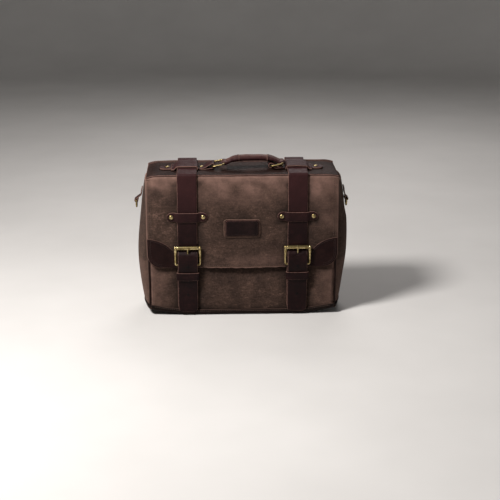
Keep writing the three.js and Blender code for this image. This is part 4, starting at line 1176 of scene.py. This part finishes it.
def grip_sleeve(end):
    """The leather that goes round a ring's bar and is sewn over the grip's end, as one closed form."""
    way, angle = 1 - 2 * end, circle(48)
    reach = np.concatenate([-4.2 * np.cos(np.linspace(0.12, QUARTER, 8)), np.linspace(1, SLEEVE, 34)])
    reach = reach[:, None]
    half_z = np.interp(reach, [0, 4, 8, 13, 19, 25, SLEEVE], [4.2, 4.0, 3.7, 4.7, 6.3, 7.15, 7.3])
    half_z = np.where(reach < 0, np.sqrt(np.clip(4.2**2 - reach**2, 0.1, None)), half_z)
    half_y = np.interp(reach, [-4.2, 5, 10, 17, 24, SLEEVE], [14.6, 14.8, 14.0, 13.0, 12.6, 12.5])
    wide, high = (bent(turned, sleeve_power(reach)) for turned in (np.cos(angle), np.sin(angle)))
    crimp = 1 + 0.03 * ripple(reach, angle * 5, 11, 65 + end)
    high = high * (1 - 0.17 * (np.sin(angle) < 0) * step(reach, 10, 18)) * crimp
    x = EYES[end] + way * reach + 0 * angle
    y, z = half_y * wide * crimp, half_z * high
    rim = [[x[-1] + way * out, y[-1] * k, sleeve_z(reach[-1]) + z[-1] * k]
           for out, k in ((0.5, 0.985), (0.7, 0.95), (0.5, 0.90), (-1.0, 0.86))]
    points = np.concatenate([coords(x, y, sleeve_z(reach) + z), np.array(rim).transpose(0, 2, 1)])
    edge = np.concatenate([np.clip(1 - (SLEEVE - reach) / 2.4, 0, 1), [[1], [1], [1], [0.5]]])
    # Painted highlight along the sleeve's top.
    return closed_ends(points, edge=edge, wear=0.55 * np.clip(np.sin(angle), 0, 1) ** 2)


def sleeve_stitches(end):
    """Stitches round the sleeve's rim and across it beside the ring's bar."""
    rows = []
    angle = np.linspace(0.12, math.pi - 0.12, 60)
    for reach, wide, high in ((28.2, 12.6, 7.35), (7.5, 14.2, 3.95)):
        y = wide * bent(np.cos(angle), sleeve_power(reach))
        z = high * bent(np.sin(angle), sleeve_power(reach))
        line = coords(EYES[end] + (1 - 2 * end) * reach, y, sleeve_z(reach) + z)
        normal = coords(0 * y, y / wide**2, z / high**2)
        rows.append(stitches(line, unit(normal), 3.2, 2.3, 0.34))
    return rows


RIVET = [(0, -2.0), (4.1, -2.0), (4.5, -0.1), (4.55, 0.3), (4.2, 0.95), (3.2, 1.6), (1.8, 2.05), (0.7, 2.2),
         (0, 2.22)]

for name, side in SIDES.items():
    build(f"tab_{name}", [tab(side)], STRAP_LEATHER, "lid", [f"handle_tab_{name}"])
    build(f"tab_thread_{name}", tab_stitches(side), DARK_THREAD, "lid", ())
    build(f"bridge_{name}", [bridge(side)], STRAP_LEATHER, "lid", [f"strap_bridge_{name}"])
    build(f"ring_{name}", [handle_ring(side)], BRASS, f"{name}_link", [f"handle_ring_{name}"])
    for place in ("inner", "outer"):
        node = f"tab_rivet_{name}_{place}"
        low, high = node_box(node)
        base = [(low[0] + high[0]) / 2, 0, high[2] - 2.2]
        build(f"rivet_tab_{name}_{place}", [lathe(RIVET, base, Z, 28)], BRASS, "lid", [node])

GRIP = build("grip", [grip(), grip_sleeve(0), grip_sleeve(1)], STRAP_LEATHER, "handle", ["handle_grip"])
build("grip_thread", [*sleeve_stitches(0), *sleeve_stitches(1)], DARK_THREAD, "handle", ())


# ---- what is on the flap ----
def flap_keeper(side):
    """The strip over the strap, flat on the flap at both its ends."""
    across = np.linspace(-41, 41, 60)
    x = side * STRAP_X + across
    lift = 1 - step(np.abs(across), 17.5, 27.5)
    y = (flap_y(x, KEEPER_Z) - 1.5) * (1 - lift) + (FRONT - STRAP - 2.0) * lift
    half = 9.4 * np.sqrt(np.clip(1 - (past(np.abs(across), 31) / 10.35) ** 2, 0.03, 1)) + 0.5 * lift
    return band(coords(x, y, KEEPER_Z - 0.4 - 1.3 * lift), Z, half, 2.7, 12, 0.35, 1.25, 2.6)


def buckle_frame(side):
    """The two sides and the heel of the buckle, in one bent rod, and its roller with its round ends."""
    wide, place = 25.0, X * side * STRAP_X
    path = mirrored([(wide, *TOP_BAR[1:]), (wide, -69.4, 138), (wide, -68.4, 122),
                     (wide, HEEL[1], HEEL[2] + 2), (wide - 1.5, *HEEL[1:])], HEEL)
    path = smooth(path, 1.4)
    run = run_of(path)
    radius = 2.3 + 0.75 * (1 - step(np.minimum(run, run[-1] - run), 0, 26))
    profile = mirrored([(0, 28.4), (1.9, 28.1), (3.4, 27.0), (4.1, 25.4), (4.0, 24.2), (3.1, 23.2),
                        (3.0, 22.4), (3.8, 22.2), (4.1, 21.6), (4.15, 20), (4.05, 10)], (4.15, 0), 1)
    return [tube(path + place, radius, 18), lathe(profile, TOP_BAR + place, X, 28)]


def buckle_prong(side):
    path = soften([(-71.0, 114.5), (-70.6, 124), (-70.4, 132), (-73.0, 139.5), (-75.6, 146), (-76.0, 149),
                   (-75.6, 153)])
    path = across_x(side * STRAP_X, spaced(path, 1.0))
    eye = across_x(side * STRAP_X, arc(0, 345, 24, 3.3, HEEL[1:]))
    return [tube(path, 1.75 - 0.45 * np.linspace(0, 1, len(path)), 12), tube(eye, 1.0, 10, True)]


def chape(side):
    """The leather round the buckle's heel."""
    path = [(-64.4, 72), (-64.4, 90), (-64.4, 108), *arc(10, 270, 14, 3.5, HEEL[1:]), (-66.2, 108)]
    return band(across_x(side * STRAP_X, smooth(path, 1.4, 2)), X, 17, 1.9, 10, 0.1, 0.9, 3.0)


def lower_keeper(side):
    path = mirrored([(22.3, -63.9), (22.3, -67), (22.2, -69.6), (20.8, -71.2), (12, -71.25)], (0, -71.4))
    x, y = smooth(path, 1.4).T
    points = coords(side * STRAP_X + x, y, LOWER_KEEPER_Z - 0.63 * (1 - (x / 22) ** 2))
    return band(points, Z, 8.0, 2.4, 10, 0.25, 1.1, 2.4)


for name, side in SIDES.items():
    build(f"keeper_{name}", [flap_keeper(side)], STRAP_LEATHER, "flap", [f"flap_keeper_{name}"])
    for way in (-1, 1):
        place = "outer" if way == side else "inner"
        x = side * STRAP_X + way * 32.5
        rivet = lathe(RIVET, [x, float(flap_y(x, KEEPER_Z)) - 2.9, KEEPER_Z - 0.4], -Y, 28)
        build(f"rivet_{name}_{place}", [rivet], BRASS, "flap", [f"keeper_rivet_{name}_{place}"])
    build(f"buckle_{name}", buckle_frame(side), BRASS, "flap", [f"buckle_frame_{name}"])
    build(f"prong_{name}", buckle_prong(side), BRASS, "flap", [f"buckle_prong_{name}"])
    build(f"chape_{name}", [chape(side)], STRAP_LEATHER, "flap", [f"buckle_chape_{name}"])
    build(f"low_keeper_{name}", [lower_keeper(side)], STRAP_LEATHER, "flap", [f"lower_keeper_{name}"])


# ---- the back and the sides ----
def rear_loop(side):
    """A loop on the back for a rack's strap."""
    path = soften([(68.05, 60), (68.05, 76), (70.5, 84), (75.8, 93), (76.1, 106), (76.1, 134), (75.8, 147),
                   (70.5, 156), (68.05, 164), (68.05, 180)])
    return band(across_x(side * STRAP_X, spaced(path, 2)), X, 22, 3.2, 14, 0.2, 1.3, 3.6)


def side_ring(side):
    path = spaced([(0, 0), (12, 0), (12, -3), *arc(0, -180, 15, 12, (0, -3)), (-12, 0)], 0.9, closed=True)
    return tube(across_x(side * RING_X, path + [0, RING_Z]), 1.6, 14, True, X)


def side_tab(side):
    """A strip on the gusset that is folded round the side ring's bar."""
    path = [(float(bulge_half(z, side)) + 1.9, z) for z in (262, 256, 250, 245)]
    path += [(216.0 if side > 0 else 214.8, 240.5), *arc(80, -190, 14, 3.2, (RING_X, RING_Z)), (214.2, 239)]
    path = smooth(path, 1.2, 2)
    half = 9 * (0.55 + 0.45 * round_end(run_of(path), 7))
    return band(along_x(side, path), Y * side, half, 2.1, 10, 0.15, 1.0, 2.6)


def side_tab_stitches(side):
    z = np.linspace(258, 245, 12)
    x = side * (bulge_half(z, side) + 3.05)
    return [stitches(coords(x, y, z), X * side, 3.4, 2.4, 0.34) for y in (-6.4, 6.4)]


for name, side in SIDES.items():
    build(f"rear_loop_{name}", [rear_loop(side)], STRAP_LEATHER, "bag_body", [f"rear_loop_{name}"])
    build(f"side_tab_{name}", [side_tab(side)], STRAP_LEATHER, "bag_body", [f"side_tab_{name}"])
    build(f"side_tab_thread_{name}", side_tab_stitches(side), THREAD, "bag_body", ())
    build(f"side_ring_{name}", [side_ring(side)], BRASS, f"{name}_side_ring", [f"side_ring_{name}"])


# ---- stitching ----
def edge_line(inset, side, top=286.0):
    """The line of stitching along the flap's side edge, inset from the edge."""
    z = np.linspace(top, FLAP_BOTTOM + FLAP_CORNER, 70)
    down = coords(FLAP_HALF - inset, z)
    return np.concatenate([down, corner_turn(inset, 0, -90, 20)[1:]]) * [side, 1]


rows = []
for side in (-1, 1):
    for inset in (4.5, 8.6):
        line = edge_line(inset, side)
        rows.append(stitches(on_flap()(*line[line[:, 1] > 168].T), -Y))
x = np.linspace(-FLAP_HALF + 66, FLAP_HALF - 66, 160)
rows.append(stitches(on_flap()(x, FLAP_BOTTOM + 4.6), -Y))
build("flap_thread", rows, THREAD, "flap", ())

rows = []
curve = patch_curve()
curve = curve + unit([FLAP_HALF, FLAP_BOTTOM] - curve) * 3.4
curve = curve[(curve[:, 0] < FLAP_HALF - 3) & (curve[:, 1] > FLAP_BOTTOM + 3)]
for side in (-1, 1):
    for line in (curve * [side, 1], *(edge_line(inset, side, 163.0)[1:] for inset in (4.0, 7.2))):
        rows.append(stitches(on_flap(1.85)(*line.T), -Y, 3.6, 2.6, 0.34))
build("patch_thread", rows, DARK_THREAD, "flap", ())

outline, _ = rounded(*(LABEL_HALF - [6.6, 5.6]), 2.4)
ring = np.concatenate([outline, outline[:1]]) + FIELD_CENTRE
build("label_thread", [stitches(on_flap(3.35)(*ring.T), -Y, 3.0, 2.1, 0.3)], DARK_THREAD, "flap", ())

rows = []
x = np.linspace(-FLAP_HALF + 3, FLAP_HALF - 3, 260)
for part in (x[x < -STRAP_X - 22], x[np.abs(x) < STRAP_X - 22], x[x > STRAP_X + 22]):
    for y in (-55.2, 57.2):
        rows.append(stitches(coords(part, y, lid_top(part, y)), Z))
build("lid_thread", rows, DARK_THREAD, "lid", ())

rows = []
z = np.linspace(16, 280, 180)
for side in (-1, 1):
    x = side * (PANEL_HALF - 5.0 - 2.5 * step(26 - z, 0, 14))
    rows.append(stitches(coords(x, front_y(x, z), z), -Y))
x = np.linspace(-183, 183, 240)
for y, out in ((bottom_low[1], -Y), (bottom_high[1], Y)):
    rows.append(stitches(coords(x, y + 0.1 * out[1], rise(x) + LIP - 2.8), out))
build("body_thread", rows, THREAD, "bag_body", ())

rows = []
for side in (-1, 1):
    lines = [(x, x, low, high, 69.65) for x in (-18, 18) for low, high in ((62, 75), (165, 178))]
    lines += [(-18, 18, z, z, 69.65) for z in (62.5, 75.5, 164.5, 177.5)]
    lines += [(x, x, 204, 222, 69.75) for x in (-16.5, 16.5)]
    lines += [(-16.5, 16.5, z, z, 69.75) for z in (203.5, 223)]
    for first_x, last_x, first_z, last_z, y in lines:
        ends = np.array([[first_x, y, first_z], [last_x, y, last_z]]) + X * side * STRAP_X
        rows.append(stitches(ends, Y, 3.8, 2.8, 0.4))
build("back_thread", rows, DARK_THREAD, "bag_body", ())

for name in SIDES:
    cad_material(f"snap_post_{name}", BRASS_CAD)
    cad_material(f"snap_socket_{name}", BRASS_CAD)


# ---- floor, lights and camera ----
def link(name, data):
    made = bpy.data.objects.new(name, data)
    bpy.context.scene.collection.objects.link(made)
    return made


def floor():
    """A pale round floor that curves up into a wall all round."""
    flat, bend, height, turns = 3.3, 1.1, 4.6, 96
    curve = arc(math.degrees(0.1) - 90, 0, 16, bend, (flat, bend))
    points = [(0.0, 0.0, 0.0)]
    for r, z in [(1.5, 0.0), (flat, 0.0), *curve, (flat + bend, height)]:
        points += [(r * math.cos(a), r * math.sin(a), z) for a in circle(turns)]
    faces = [[0, 1 + k, 1 + (k + 1) % turns] for k in range(turns)]
    faces += (grid_faces(len(points) // turns, turns, False, True) + 1).tolist()
    mesh = bpy.data.meshes.new("studio_floor")
    mesh.from_pydata(points, [], faces)
    for polygon in mesh.polygons:
        polygon.use_smooth = True
    k = Look("studio_paper", "object")
    tone = k.ramp(k.noise(3.0, 3.0), (0.3, (205, 203, 200)), (0.7, (212, 210, 207)))
    mesh.materials.append(k.finish(Base_Color=tone, Roughness=0.9, Specular_IOR_Level=0.2))
    link("studio_floor", mesh)


def area_light(name, place, size, power, colour, target=(0, 0, 0.16)):
    data = bpy.data.lights.new(name, "AREA")
    data.shape, data.size, data.energy, data.color = "DISK", size, power, colour
    lamp = link(name, data)
    lamp.location = place
    lamp.visible_camera = False
    lamp.rotation_euler = (Vector(target) - Vector(place)).to_track_quat("-Z", "Y").to_euler()


def studio():
    area_light("key", (-0.85, -0.80, 1.45), 0.42, 44, (1.0, 0.97, 0.95))
    area_light("fill", (1.9, -1.6, 0.9), 1.6, 2.5, (0.95, 0.97, 1.0))
    area_light("rim", (0.3, 1.5, 1.7), 1.2, 16, (1.0, 0.96, 0.95))
    world = bpy.data.worlds.new("studio_air")
    world.use_nodes = True
    background = world.node_tree.nodes["Background"]
    background.inputs["Color"].default_value = (0.82, 0.84, 0.88, 1)
    background.inputs["Strength"].default_value = 0.07
    bpy.context.scene.world = world
    bpy.context.scene.view_settings.view_transform = "Standard"


def camera():
    data = bpy.data.cameras.new("camera")
    data.lens, data.sensor_width = 85.75, 36.0
    data.clip_start, data.clip_end = 0.05, 30.0
    eye = link("camera", data)
    eye.location = (-0.0696, -2.397, 0.8538)
    eye.rotation_euler = [math.radians(a) for a in (73.03, 0.0, -2.08)]
    bpy.context.scene.camera = eye


floor()
studio()
camera()

bpy.context.view_layer.update()
